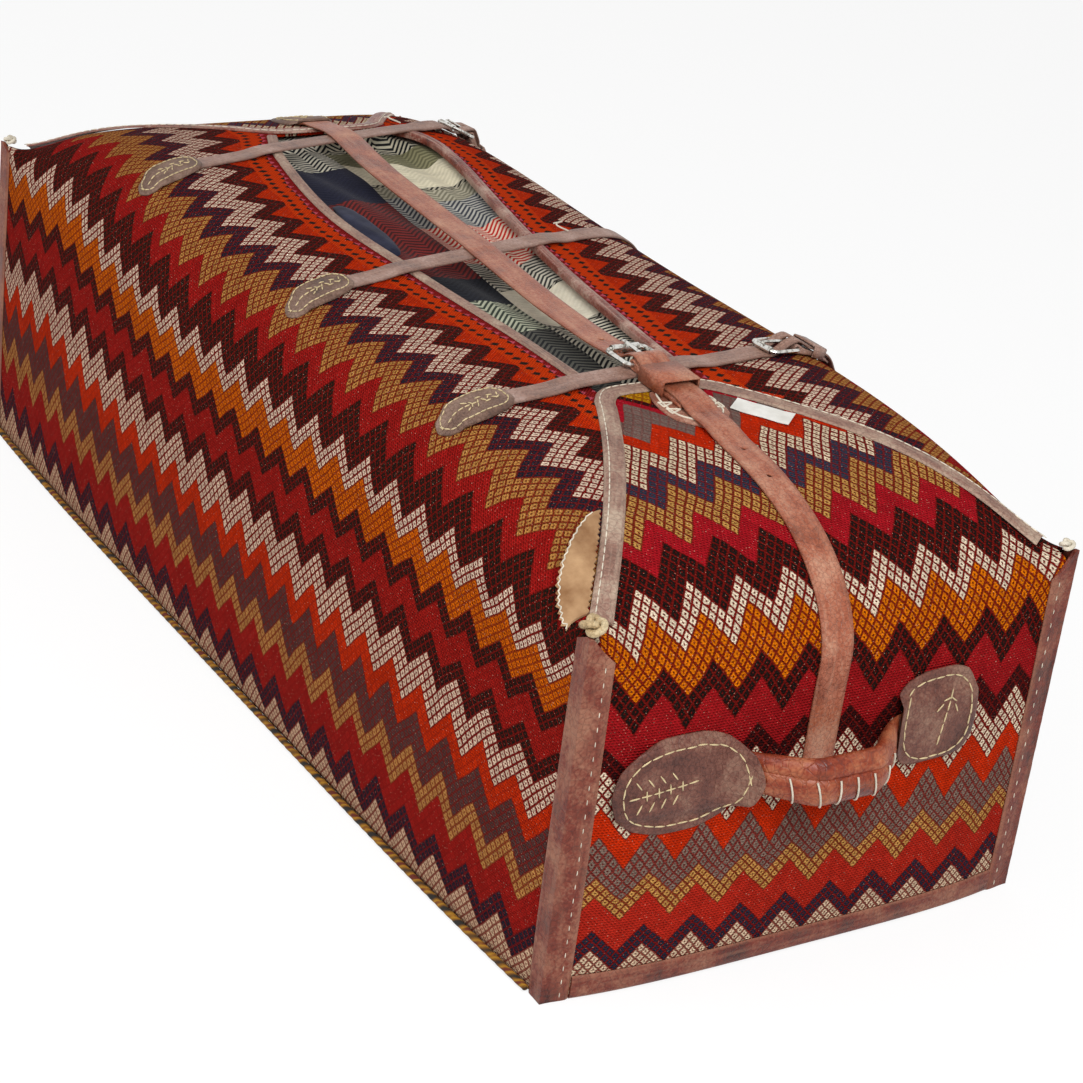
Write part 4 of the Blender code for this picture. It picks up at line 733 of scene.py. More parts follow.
def folded_blankets(name):
    """Wool blankets, twill woven: stripes of herringbone, plaid and plain cream from end to end.

    The stripes follow the bag's length; each yarn is about 3 mm, as in a heavy hand-loomed blanket.
    """
    finish, tree, shader = material(name, Roughness=0.95, Specular_IOR_Level=0.15, Sheen_Weight=0.06,
                                    Sheen_Roughness=0.4)
    place = add(tree, "ShaderNodeTexCoord").outputs["Object"]
    wander = add(tree, "ShaderNodeTexNoise", {"Vector": place, "Scale": 14.0, "Detail": 1.0})
    spot = add(tree, "ShaderNodeSeparateXYZ", {0: place})
    shift = add(tree, "ShaderNodeMapRange", {"Value": wander, "To Min": -0.010, "To Max": 0.010})
    lean = add(tree, "ShaderNodeMath", {0: spot.outputs[1], 1: -0.2, 2: spot.outputs[0]},
               operation="MULTIPLY_ADD")
    along = add(tree, "ShaderNodeMath", {0: lean, 1: shift}, operation="ADD")
    where = add(tree, "ShaderNodeMapRange", {"Value": along, "From Min": -0.5, "From Max": 0.5})
    lane = add(tree, "ShaderNodeMath", {0: spot.outputs[0], 1: 0.05, 2: spot.outputs[1]},
               operation="MULTIPLY_ADD")
    front = add(tree, "ShaderNodeMath", {0: lane, 1: 0.012}, operation="LESS_THAN")
    sides = [set_stops(add(tree, "ShaderNodeValToRGB", {"Fac": where}), stops, "CONSTANT")
             for stops in (BACK_PALE, BACK_DARK, FRONT_PALE, FRONT_DARK)]
    pale = add(tree, "ShaderNodeMix", {0: front, 6: sides[0], 7: sides[2]}, data_type="RGBA")
    dark = add(tree, "ShaderNodeMix", {0: front, 6: sides[1], 7: sides[3]}, data_type="RGBA")
    strong = add(tree, "ShaderNodeMix", {0: front, 2: sides[1].outputs[1], 3: sides[3].outputs[1]})

    # Herringbone: slanted lines that turn back every 14 mm
    turn = add(tree, "ShaderNodeMath", {0: spot.outputs[1], 1: 0.014}, operation="PINGPONG")
    slant = add(tree, "ShaderNodeMath", {0: turn, 1: 1.0, 2: spot.outputs[0]}, operation="MULTIPLY_ADD")
    line = add(tree, "ShaderNodeMath", {0: slant, 1: 0.0034}, operation="PINGPONG")
    twill = add(tree, "ShaderNodeMapRange", {"Value": line, "From Min": 0.0014, "From Max": 0.0020})
    twill = add(tree, "ShaderNodeMath", {0: twill, 1: strong}, operation="MULTIPLY")
    colour = add(tree, "ShaderNodeMix", {0: twill, 6: pale.outputs[2], 7: dark.outputs[2]},
                 data_type="RGBA")
    # The blankets' tone varies at random, in patches and from yarn to yarn
    soil = add(tree, "ShaderNodeTexNoise", {"Vector": place, "Scale": 60.0, "Detail": 4.0})
    tone = add(tree, "ShaderNodeMapRange", {"Value": soil, "From Min": 0.3, "From Max": 0.7,
                                            "To Min": 0.80, "To Max": 1.06})
    yarn = add(tree, "ShaderNodeTexNoise", {"Vector": place, "Scale": 900.0, "Detail": 2.0})
    tone = add(tree, "ShaderNodeMath", {0: yarn, 1: 0.25, 2: tone}, operation="MULTIPLY_ADD")
    tone = add(tree, "ShaderNodeMath", {0: tone, 1: 0.12}, operation="SUBTRACT")
    final = add(tree, "ShaderNodeVectorMath", {0: colour.outputs[2], "Scale": tone},
                operation="SCALE")
    height = add(tree, "ShaderNodeMath", {0: twill, 1: 0.5, 2: yarn}, operation="MULTIPLY_ADD")
    bump = add(tree, "ShaderNodeBump", {"Height": height, "Strength": 0.7, "Distance": 0.0006})
    join(tree, shader, Base_Color=final, Normal=bump)
    return finish


def plain_cloth(name, dark, light, roughness=0.92, thread=700.0):
    """A plain woven cloth with a dusty surface."""
    finish, tree, shader = material(name, Roughness=roughness, Specular_IOR_Level=0.15, Sheen_Weight=0.08)
    place = add(tree, "ShaderNodeTexCoord").outputs["Object"]
    lint = add(tree, "ShaderNodeTexNoise", {"Vector": place, "Scale": 45.0, "Detail": 6.0})
    ramp = set_stops(add(tree, "ShaderNodeValToRGB", {"Fac": lint}), [(0.35, dark, 1), (0.72, light, 1)])
    weave = add(tree, "ShaderNodeTexNoise", {"Vector": place, "Scale": thread, "Detail": 2.0})
    bump = add(tree, "ShaderNodeBump", {"Height": weave, "Strength": 0.6, "Distance": 0.0005})
    join(tree, shader, Base_Color=ramp, Normal=bump)
    return finish


def nickel_plate(name):
    """Nickel-plated steel buckles: bright and smooth, with fine scratches and dull spots."""
    finish, tree, shader = material(name, Metallic=1.0, Roughness=0.2)
    place = add(tree, "ShaderNodeTexCoord").outputs["Object"]
    wear = add(tree, "ShaderNodeTexNoise", {"Vector": place, "Scale": 260.0, "Detail": 4.0})
    ramp = set_stops(add(tree, "ShaderNodeValToRGB", {"Fac": wear}),
                     [(0.36, "#8D8880", 1), (0.52, "#D8D6D0", 1)])
    dull = add(tree, "ShaderNodeMapRange", {"Value": wear, "From Min": 0.35, "From Max": 0.65,
                                            "To Min": 0.34, "To Max": 0.14})
    bump = add(tree, "ShaderNodeBump", {"Height": wear, "Strength": 0.12, "Distance": 0.0002})
    join(tree, shader, Base_Color=ramp, Roughness=dull, Normal=bump)
    return finish


def twisted_cord(name):
    """The thick selvedge: gold and black wool yarns plied together, which leaves slanted flecks."""
    finish, tree, shader = material(name, Roughness=0.9)
    strip = add(tree, "ShaderNodeUVMap", uv_map="strip")
    plies = add(tree, "ShaderNodeTexWave", {"Vector": strip, "Scale": 30.0, "Distortion": 1.4,
                                            "Detail": 1.0}, bands_direction="DIAGONAL")
    patch = add(tree, "ShaderNodeTexNoise", {"Vector": strip, "Scale": 46.0, "Detail": 2.0})
    mixed = add(tree, "ShaderNodeMath", {0: patch, 1: 1.2, 2: plies.outputs[1]}, operation="MULTIPLY_ADD")
    ramp = set_stops(add(tree, "ShaderNodeValToRGB", {"Fac": add(
        tree, "ShaderNodeMath", {0: mixed, 1: 0.5}, operation="MULTIPLY")}),
        [(0.30, "#1C1712", 1), (0.46, "#7A5010", 1), (0.66, "#A87818", 1), (0.80, "#5E2010", 1)])
    bump = add(tree, "ShaderNodeBump", {"Height": plies.outputs[1], "Strength": 0.8, "Distance": 0.0008})
    join(tree, shader, Base_Color=ramp, Normal=bump)
    return finish


# Bands of the side panels from the base up: lower edge in bands, colour, how far the ground shows
SIDE_COLOURS = (
    (-1, "#DDB998", 0.85), (1, "#20222E", 0.70), (2, "#A01E18", 0.45), (3, "#BC8448", 0.80),
    (4, "#573C38", 0.70), (5, "#C83008", 0.40), (6, "#E6C6AC", 1.0), (7, "#241914", 0.75),
    (8, "#A01C16", 0.50), (9, "#261A14", 0.75), (10, "#D86606", 0.75), (11, "#E9CBB2", 1.0),
    (12, "#231B14", 0.75), (13, "#A21B18", 0.40), (14, "#BD8444", 0.90), (15, "#23242F", 0.70),
    (16, "#ECD0B8", 1.0), (17, "#241B16", 0.75), (17.85, "#CC3206", 0.30))
SIDE_BORDER = 18.80
# Bands of the end panels, from below the base to the flap's tip
END_COLOURS = (
    (-1, "#E6CAAA", 0.9), (1, "#262C3C", 0.90), (2, "#B82A1C", 0.15), (3, "#CC9650", 0.90),
    (4, "#857064", 0.85), (5, "#CE300A", 0.12), (6, "#F0DABD", 1.0), (7, "#2E1213", 0.60),
    (8, "#A3191E", 0.20), (9, "#1F1714", 0.80), (10, "#DE7408", 0.95), (11, "#F1DCC0", 1.0),
    (12, "#1F1815", 0.80), (13, "#AC1722", 0.20), (14, "#C8944E", 0.95), (15, "#2F3A4C", 0.75),
    (16, "#F0D9B8", 1.0), (17, "#D02E08", 0.20), (18, "#7E6A62", 0.35), (19, "#B5182A", 0.20),
    (19.5, "#2A1415", 0.75), (19.95, "#CC9212", 0.60))
# The bedding's stripes along the bag: place from 0 to 1, colour, how strong the twill lines are
BACK_PALE = (
    (0.0, "#CFC8B0", 1), (0.11, "#8E8A68", 1), (0.16, "#E8DFC4", 1), (0.225, "#26241E", 1),
    (0.231, "#B7B09A", 1), (0.265, "#B9B7AE", 1), (0.338, "#ECD2BC", 1), (0.446, "#D6D0BE", 1),
    (0.510, "#26241E", 1), (0.515, "#ECE4CE", 1), (0.605, "#26241E", 1), (0.610, "#DDD6C2", 1))
BACK_DARK = (
    (0.0, "#1E2022", 1.0), (0.11, "#4E4C36", 0.7), (0.16, "#B8AE88", 0.30), (0.225, "#E8DFC4", 0.6),
    (0.231, "#5E5C48", 0.7), (0.265, "#2E3240", 0.95), (0.338, "#C4281C", 1.0), (0.446, "#1A1C20", 0.95),
    (0.510, "#ECE4CE", 0.6), (0.515, "#C4B894", 0.15), (0.605, "#ECE4CE", 0.6), (0.610, "#141416", 1.0))
FRONT_PALE = (
    (0.0, "#D8D2C0", 1), (0.17, "#1C1D30", 1), (0.27, "#7A2420", 1), (0.48, "#20222A", 1),
    (0.545, "#B9BCA4", 1), (0.62, "#1D1E20", 1))
FRONT_DARK = (
    (0.0, "#191B1E", 1.0), (0.17, "#12131F", 0.4), (0.27, "#2A1418", 0.9), (0.48, "#101116", 0.5),
    (0.545, "#26302A", 0.95), (0.62, "#8E8C80", 0.35))


def finishes():
    """Every finish of the bag, by a maker's name for it."""
    return {
        "side_wool": zigzag_wool("side_wool", SIDE_COLOURS, 22, SIDE_BORDER),
        "end_wool": zigzag_wool("end_wool", END_COLOURS, 22, 0.0),
        "base_wool": plain_cloth("base_wool", "#3B1712", "#6B3226"),
        "blankets": folded_blankets("blankets"),
        "indigo_cloth": plain_cloth("indigo_cloth", "#16172A", "#34364A"),
        "binding_hide": worn_leather("binding_hide", "#3E1710", "#743022", "#9C6A54", 0.50, 150.0,
                                     edge_tone=0.60, streaks=0.45),
        "pale_edge": worn_leather("pale_edge", "#5E4036", "#8E6A5C", "#B7A08C", 0.58, 160.0, edge_tone=0.5,
                                  streaks=0.45),
        "rolled_hide": worn_leather("rolled_hide", "#4E1E14", "#7E3E30", "#B89A8A", 0.44, 120.0,
                                    streaks=0.65),
        "long_strap_hide": worn_leather("long_strap_hide", "#74361F", "#A25A40", "#C08C72", 0.38, 210.0,
                                        edge_tone=-0.50, streaks=0.40),
        "cross_strap_hide": worn_leather("cross_strap_hide", "#64463C", "#936E5E", "#B4968A", 0.46, 210.0,
                                         edge_tone=-0.45, streaks=0.35),
        "patch_hide": worn_leather("patch_hide", "#43302A", "#705446", "#94796A", 0.55, 260.0),
        "shield_hide": worn_leather("shield_hide", "#6A3828", "#9A6450", "#BC9480", 0.50, 240.0),
        "grip_hide": worn_leather("grip_hide", "#4E150B", "#87351D", "#B06A48", 0.36, 130.0, streaks=0.4),
        "handle_patch_hide": worn_leather("handle_patch_hide", "#42201A", "#6E4236", "#93705E", 0.46, 200.0),
        "suede": plain_cloth("suede", "#8A6342", "#C29C74", 0.95, 1200.0),
        "rawhide": worn_leather("rawhide", "#8E7350", "#BFA57C", "#DCCBA6", 0.50, 300.0),
        "white_thread": spun_thread("white_thread", "#E6DCC8"),
        "gold_thread": spun_thread("gold_thread", "#DCC79A"),
        "tag_card": plain_cloth("tag_card", "#D9D6CE", "#F4F2EC", 0.75, 1500.0),
        "twisted_cord": twisted_cord("twisted_cord"),
        "nickel": nickel_plate("nickel"),
    }


# ---- woven pieces ----

def hip_shares(steps):
    return [HIP_START + (1 - HIP_START) * (k / steps) ** 1.25 for k in range(steps + 1)]


def woven_sheet(name, columns, finish, node, teeth_of):
    """A closed sheet from columns of (outer, inner) points, with maps "teeth" and "cloth"."""
    outer = [[a for a, _ in rows] for rows in columns]
    inner = [[b for _, b in rows] for rows in columns]
    teeth, cloth = [], []
    area = 0.0
    for i, row in enumerate(outer):
        heights = run_lengths(row)
        for place, height in zip(row, heights):
            along, pair = teeth_of(place, height)
            teeth.append(pair)
            cloth.append((along, height))
        if i:
            width = (outer[i][0] - outer[i - 1][0]).length
            area += width * (heights[-1] + run_lengths(outer[i - 1])[-1]) / 2
    obj = made(name, *slab(inner, outer), finish, {"teeth": teeth * 2, "cloth": cloth * 2}, 60)
    on_bag(obj, node)
    tallest = max(run_lengths(row)[-1] for row in outer)
    return obj


def side_panel(name, side, finish):
    """A long side's cloth, from the base up its wall and over the top to the hip seams and the lip."""
    hips, lips, wall_rows, top_rows = 34, 76, 30, 38
    far = [hip(-1, side, share) for share in hip_shares(hips)]
    near = [hip(1, side, share) for share in hip_shares(hips)]
    start, stop = far[-1].x, near[-1].x
    steps = [start + (stop - start) * k / lips for k in range(1, lips)]
    edge = far + [Vector((x, lip_y(side, x))) for x in steps] + near[::-1]
    columns, scale = [], {}
    for place in edge:
        x = place.x
        end_y = place.y + side * SEAM_GAP
        wall = edge_height(x, HALF_WIDTH)
        rows = [(side_point(side, x, wall * k / wall_rows),
                 side_point(side, x, wall * k / wall_rows, -CLOTH)) for k in range(wall_rows)]
        for k in range(top_rows + 1):
            share = (k / top_rows) ** 1.7
            y = side * side_half(x) + (end_y - side * side_half(x)) * share
            rows.append((top_point(x, y), top_point(x, y, -CLOTH)))
        columns.append(rows)
        at_lip = lip_y(side, min(max(x, start), stop))
        whole = side_profile(side, x)[1][-1] - reach_across(side, x, at_lip)
        scale[round(x, 6)] = SIDE_TOP / whole

    def teeth_of(place, height):
        up = height * scale[round(place.x, 6)]
        band = (up - SIDE_FIRST_BAND) / SIDE_BAND + 1 + table_value(SIDE_SHIFT, up)
        return place.x, ((place.x - SIDE_TOOTH_AT) / SIDE_TOOTH, band)

    return woven_sheet(name + "_wool", columns, finish, name, teeth_of)


def end_panel(name, end, finish):
    """An end's cloth, from the base up its wall and over the top to the tip of its flap."""
    hips, middles, wall_rows, top_rows = 40, 12, 30, 56
    front = [hip(end, -1, share) for share in hip_shares(hips)]
    back = [hip(end, 1, share) for share in hip_shares(hips)]
    inner_edge = [front[-1].lerp(back[-1], k / middles) for k in range(1, middles)]
    columns = []
    for place in front + inner_edge + back[::-1]:
        y = place.y
        end_x = place.x + end * SEAM_GAP
        wall = edge_height(HALF_LENGTH, y)
        rows = [(end_point(end, y, wall * k / wall_rows),
                 end_point(end, y, wall * k / wall_rows, -CLOTH)) for k in range(wall_rows)]
        for k in range(top_rows + 1):
            share = (k / top_rows) ** 1.5
            x = end * end_half(y) + (end_x - end * end_half(y)) * share
            rows.append((top_point(x, y), top_point(x, y, -CLOTH)))
        columns.append(rows)

    def teeth_of(place, height):
        band = float(np.interp(height, END_BANDS, range(-1, len(END_BANDS) - 1)))
        along = end * place.y
        shift = along - END_TOOTH_AT + END_LEAN * (height - END_LEAN_FROM)
        return along, (shift / END_TOOTH, band)

    return woven_sheet(name + "_wool", columns, finish, name, teeth_of)


def base_panel(finish):
    """The plain woven base, with the slight waves of cloth under a load."""
    x_half, y_half = HALF_LENGTH - CLOTH - GAP, HALF_WIDTH - CLOTH - GAP
    columns, rows = 90, 38
    lower, upper = [], []
    for i in range(columns + 1):
        x = x_half * (2 * i / columns - 1)
        near, away = [], []
        for j in range(rows + 1):
            y = y_half * (2 * j / rows - 1)
            wave = 0.0006 * (0.5 + 0.5 * rough((x, y, 0), 0.07))
            near.append(Vector((x, y, wave)))
            away.append(Vector((x, y, BASE_CLOTH)))
        lower.append(near)
        upper.append(away)
    obj = on_bag(made("base_panel_cloth", *slab(lower, upper), finish), "base_panel")


def blanket_filling(finish):
    """The folded bedding that stuffs the bag; only the folds in the mouth are seen."""
    inset = CLOTH + FILL_CLEARANCE
    half_y = HALF_WIDTH - inset
    count_x, count_y = 150, 84
    rows = []
    for i in range(count_x + 1):
        u = math.sin(math.pi / 2 * (2 * i / count_x - 1)) * 0.4 + (2 * i / count_x - 1) * 0.6
        row = []
        for j in range(count_y + 1):
            v = math.sin(math.pi / 2 * (2 * j / count_y - 1)) * 0.4 + (2 * j / count_y - 1) * 0.6
            x = u * end_half(v * half_y, inset)
            y = v * side_half(x, inset)
            crumple = (0.0022 * rough((x, 2.2 * y, 0), 0.06, 3) - 0.0022) * in_mouth(x, y)
            row.append(Vector((x, y, blanket_height(x, y) + crumple)))
        rows.append(row)
    floor = BASE_CLOTH + GAP
    verts, faces = slab([[Vector((place.x, place.y, floor)) for place in row] for row in rows], rows)
    size = len(rows) * len(rows[0])
    walls = faces[-2 * (count_x + count_y):]
    faces = faces[:-len(walls)]
    # The walls get rings of points at these shares of their height, which follow the skin's bulge
    below = {index: index for wall in walls for index in wall[:2]}
    for level in (0.12, 0.3, 0.5, 0.7, 0.86):
        ring = {}
        for wall in walls:
            for index in wall[:2]:
                if index in ring:
                    continue
                top = verts[size + index]
                z = floor + (top.z - floor) * level
                place = Vector((top.x, top.y, z))
                if abs(abs(top.y) - side_half(top.x, inset)) < 1e-5:
                    place.y = side_point(math.copysign(1, top.y), top.x, z, 0.0, inset).y
                if abs(abs(top.x) - end_half(top.y, inset)) < 1e-5:
                    place.x = end_point(math.copysign(1, top.x), top.y, z, 0.0, inset).x
                ring[index] = len(verts)
                verts.append(place)
        faces += [(below[a], below[b], ring[b], ring[a]) for a, b, _, _ in walls]
        below = ring
    faces += [(below[a], below[b], c, d) for a, b, c, d in walls]
    obj = on_bag(made("stuffed_blankets", verts, faces, finish), "blanket_filling")


def tucked_cloth(finish):
    """The indigo cloth whose soft roll shows inside the front lip."""
    start, stop = tip_x(-1) + TUCK_START, tip_x(-1) + TUCK_START + TUCK_LENGTH
    half = TUCK_WIDTH / 2
    count, around = 60, 28
    outlines = []
    for k in range(count + 1):
        share = k / count
        x = start + (stop - start) * share
        middle = lip_y(-1, x) + TUCK_FROM_LIP
        swell = math.sqrt(max(0.0, 1 - (2 * share - 1) ** 2)) * 0.86 + 0.14
        floor = max(blanket_height(x, middle + half * s) for s in (-1, 0, 1))
        centre = Vector((x, middle, floor + TUCK_SEAT + TUCK_THICKNESS / 2 * swell))
        outline = []
        for m in range(around):
            a = 2 * math.pi * m / around
            fold = 1 + 0.07 * math.sin(5 * a + 9 * share) + 0.08 * rough((x, a * 0.01, 0), 0.014)
            outline.append(centre + Vector((0, half * swell * fold * math.cos(a),
                                            TUCK_THICKNESS / 2 * swell * fold * math.sin(a))))
        outlines.append(outline)
    obj = on_bag(made("tucked_indigo_cloth", *rings(outlines), finish), "tucked_cloth")


# ---- leather strips ----

def strip_section(share):
    """Height share of a strip's face at a place across it, -1 to 1: flat, with rounded edges."""
    return 0.30 + 0.70 * (max(0.0, 1 - abs(share) ** 5)) ** 0.5


def wrinkle(along, across, seed):
    """Cross wrinkles of a narrow leather strip, between -1 and 1."""
    fine = noise.noise(Vector((along / 0.0065, across * 0.9, seed)))
    broad = noise.noise(Vector((along / 0.021, across * 0.7, seed + 7.3)))
    return 0.55 * fine + 0.45 * broad


def corner_binding(name, end, side, finish):
    """A strip folded round the upright corner, one flange on the side and one on the end."""
    flat = 8
    columns = [-CORNER_SIDE_FLANGE * (1 - k / flat) for k in range(flat)] + [-0.0012, 0.0, 0.0012]
    columns += [CORNER_END_FLANGE * (k + 1) / (flat + 2) for k in range(flat + 2)]
    rows = 96
    lower, upper, strip = [], [], []
    seed = end * 3 + side
    for k in range(rows + 1):
        near, away = [], []
        for q in columns:
            share = q / (CORNER_SIDE_FLANGE if q < 0 else CORNER_END_FLANGE)
            height = CORNER_HEIGHT * k / rows
            crest = max(0.0, 1 - abs(q) / 0.007)
            face = LEATHER * strip_section(share) + 0.0007 * crest
            face += 0.0003 * wrinkle(height, share, seed) * (1 - abs(share) ** 4)
            for lift, row in ((GAP, near), (GAP + face, away)):
                if q < 0:
                    x = end * (HALF_LENGTH + q)
                    row.append(side_point(side, x, edge_height(x, HALF_WIDTH) * k / rows, lift))
                elif q > 0:
                    y = side * (HALF_WIDTH - q)
                    row.append(end_point(end, y, edge_height(HALF_LENGTH, y) * k / rows, lift))
                else:
                    row.append(Vector((end * (HALF_LENGTH + lift), side * (HALF_WIDTH + lift), height)))
            strip.append((height, share))
        lower.append(near)
        upper.append(away)
    return on_bag(made(name + "_hide", *slab(lower, upper), finish, {"strip": strip * 2}), name)


def base_binding(name, end, finish):
    """The flat leather strip along the foot of an end."""
    half = HALF_WIDTH - CORNER_END_FLANGE - 2 * GAP
    lower, upper, strip = [], [], []
    steps, columns = 120, 10
    for k in range(steps + 1):
        y = -half + 2 * half * k / steps
        near, away = [], []
        for j in range(columns + 1):
            share = 2 * j / columns - 1
            z = BASE_BINDING * j / columns
            face = LEATHER * strip_section(share)
            face += 0.0003 * wrinkle(y, share, end) * (1 - abs(share) ** 4)
            near.append(end_point(end, y, z, GAP))
            away.append(end_point(end, y, z, GAP + face))
            strip.append((y, share))
        lower.append(near)
        upper.append(away)
    return on_bag(made(name + "_hide", *slab(lower, upper), finish, {"strip": strip * 2}), name)


def base_cord(name, side, finish):
    """The thick twisted selvedge along a long side's base."""
    half = HALF_LENGTH - CORNER_SIDE_FLANGE - 2 * GAP
    steps, around = 330, 12
    outlines, strip = [], []
    for k in range(steps + 1):
        x = -half + 2 * half * k / steps
        centre = side_point(side, x, SELVEDGE + GAP, SELVEDGE + 0.0004)
        outline = []
        for m in range(around):
            a = 2 * math.pi * m / around
            ply = 1 - 0.14 * (0.5 + 0.5 * math.cos(2 * (a - x / 0.0042)))
            outline.append(centre + SELVEDGE * ply * Vector((0, math.cos(a), math.sin(a))))
            strip.append((x, m / around * 2 * math.pi * SELVEDGE))
        outlines.append(outline)
    return on_bag(made(name + "_yarns", *rings(outlines), finish, {"strip": strip}), name)


def plan_across(path, i):
    """Sideways direction at a point of a plan path."""
    ahead = path[min(i + 1, len(path) - 1)] - path[max(i - 1, 0)]
    return Vector((-ahead.y, ahead.x)).normalized()


def kept_on_top(spot):
    """A plan place, held just inside the edge of the bag's top."""
    return (math.copysign(min(abs(spot.x), end_half(spot.y) - TOP_EDGE), spot.x),
            math.copysign(min(abs(spot.y), side_half(spot.x) - TOP_EDGE), spot.y))


def from_corner(place):
    """0 at the bag's end, rising to 1 a hand's width inwards."""
    return min(1.0, (HALF_LENGTH - abs(place.x)) / 0.10)


def laid_strip(name, node, path, width, offset, finish, section, drop=0.0, corner_rise=0.0, seed=0.0,
               columns=12, crease=0.0003):
    """A leather strip on the bag's top along a plan path; section gives its face's height across it."""
    lower, upper, strip = [], [], []
    lengths = run_lengths(path)
    for i, place in enumerate(path):
        across = plan_across(path, i)
        near, away = [], []
        low = GAP + corner_rise * (1 - from_corner(place))
        for j in range(columns + 1):
            share = 2 * j / columns - 1
            spot = place + across * (offset + width * share / 2)
            x, y = kept_on_top(spot)
            face = section(share) + crease * wrinkle(lengths[i], share, seed) * (1 - share ** 4)
            near.append(top_point(x, y, low))
            away.append(top_point(x, y, low + face))
            strip.append((lengths[i], share))
        if drop:
            near[-1] = near[-1] - Vector((0, 0, drop))
        lower.append(near)
        upper.append(away)
    return on_bag(made(name, *slab(lower, upper), finish, {"strip": strip * 2}), node)


def flap_path(end):
    """Plan path of a flap's binding: up one hip seam, round the tip and down the other."""
    start = 0.085
    steps = 26
    shares = [start + (0.94 - start) * (k / steps) ** 1.2 for k in range(steps + 1)]
    front = [hip(end, -1, share) for share in shares]
    back = [hip(end, 1, share) for share in shares]
    nudge = Vector((-end * 0.001, 0))
    first, last = hip(end, -1, 1.0) + nudge, hip(end, 1, 1.0) + nudge
    turn = [front[-1].lerp(first, 0.75).lerp(last, 0.07), first.lerp(last, 0.22),
            first.lerp(last, 0.5), first.lerp(last, 0.78),
            back[-1].lerp(last, 0.75).lerp(first, 0.07)]
    path = smooth_curve(front + turn + back[::-1], 5)
    return path[::-1] if end > 0 else path


def flap_binding(name, end, finish):
    section = (lambda share: LEATHER * strip_section(share)) if end > 0 else (
        lambda share: LEATHER * (0.30 + 0.75 * max(0.0, 1 - share ** 2) ** 0.5))
    return laid_strip(name + "_hide", name, flap_path(end), FLAP_BINDING, FLAP_BINDING * 0.22, finish,
                      section, corner_rise=CORNER_RISE, seed=end, crease=0.0007)


def lip_path(side, steps=190):
    clear = FLAP_BINDING * 0.85
    start, stop = tip_x(-1) + clear, tip_x(1) - clear
    path = [Vector((x, lip_y(side, x))) for x in [start + (stop - start) * k / steps
                                                  for k in range(steps + 1)]]
    return path[::-1] if side > 0 else path


def lip_binding(name, side, finish):
    offset = -LIP_BINDING / 2 + LEATHER + 4 * GAP + SEAM_GAP
    section = (lambda share: LEATHER * strip_section(share)) if side < 0 else (
        lambda share: LEATHER * (0.25 + 1.35 * max(0.0, 1 - share ** 2) ** 0.5))
    return laid_strip(name + "_hide", name, lip_path(side), LIP_BINDING, offset, finish, section,
                      drop=CLOTH, seed=5 + side, crease=0.0005 if side > 0 else 0.0003)


# ---- straps ----

def local_frame(origin, forward, upward):
    """Axes of a buckle: X towards its chape, Z away from the bag."""
    x = forward.normalized()
    y = upward.cross(x).normalized()
    z = x.cross(y)
    return Matrix(((x.x, y.x, z.x, origin.x), (x.y, y.y, z.y, origin.y), (x.z, y.z, z.z, origin.z),
                   (0, 0, 0, 1)))


def skin_frame(point_at, middle):
    """Axes at a place on the skin: X along the strap towards its tail, Z away from the bag."""
    step = 0.012
    origin = point_at(middle, 0.0)
    forward = point_at(middle + step, 0.0) - point_at(middle - step, 0.0)
    upward = point_at(middle, 0.001) - origin
    return local_frame(origin, forward, upward)


def strap_path(controls, spans):
    """A smooth run through (place, sideways) pairs, with the strap's sideways direction along it."""
    places = smooth_curve([place for place, _ in controls], spans)
    across = []
    for (_, a), (_, b) in zip(controls, controls[1:]):
        across += [a.lerp(b, k / spans) for k in range(spans)]
    return places, across + [controls[-1][1]]


def buckle_run(spec, seat, height, rise, before):
    """Places of a strap's underside through a buckle: under the roller, over the heel bar."""
    under = height - spec.roller - RUNNING - STRAP
    crest = height + spec.bar + RUNNING + 2 * spec.pin + 0.0006
    steps = [(-0.013, under + before), (0.0, under), (0.16 * spec.span, under + 0.0006)]
    steps += [(share * spec.span, under + (crest - under) * climb) for share, climb in rise]
    steps += [(0.90 * spec.span, crest), (1.07 * spec.span, crest + 0.0001)]
    sideways = seat.to_3x3() @ Vector((0, 1, 0))
    return [(seat @ Vector((x - spec.span / 2, 0, z)), sideways) for x, z in steps]


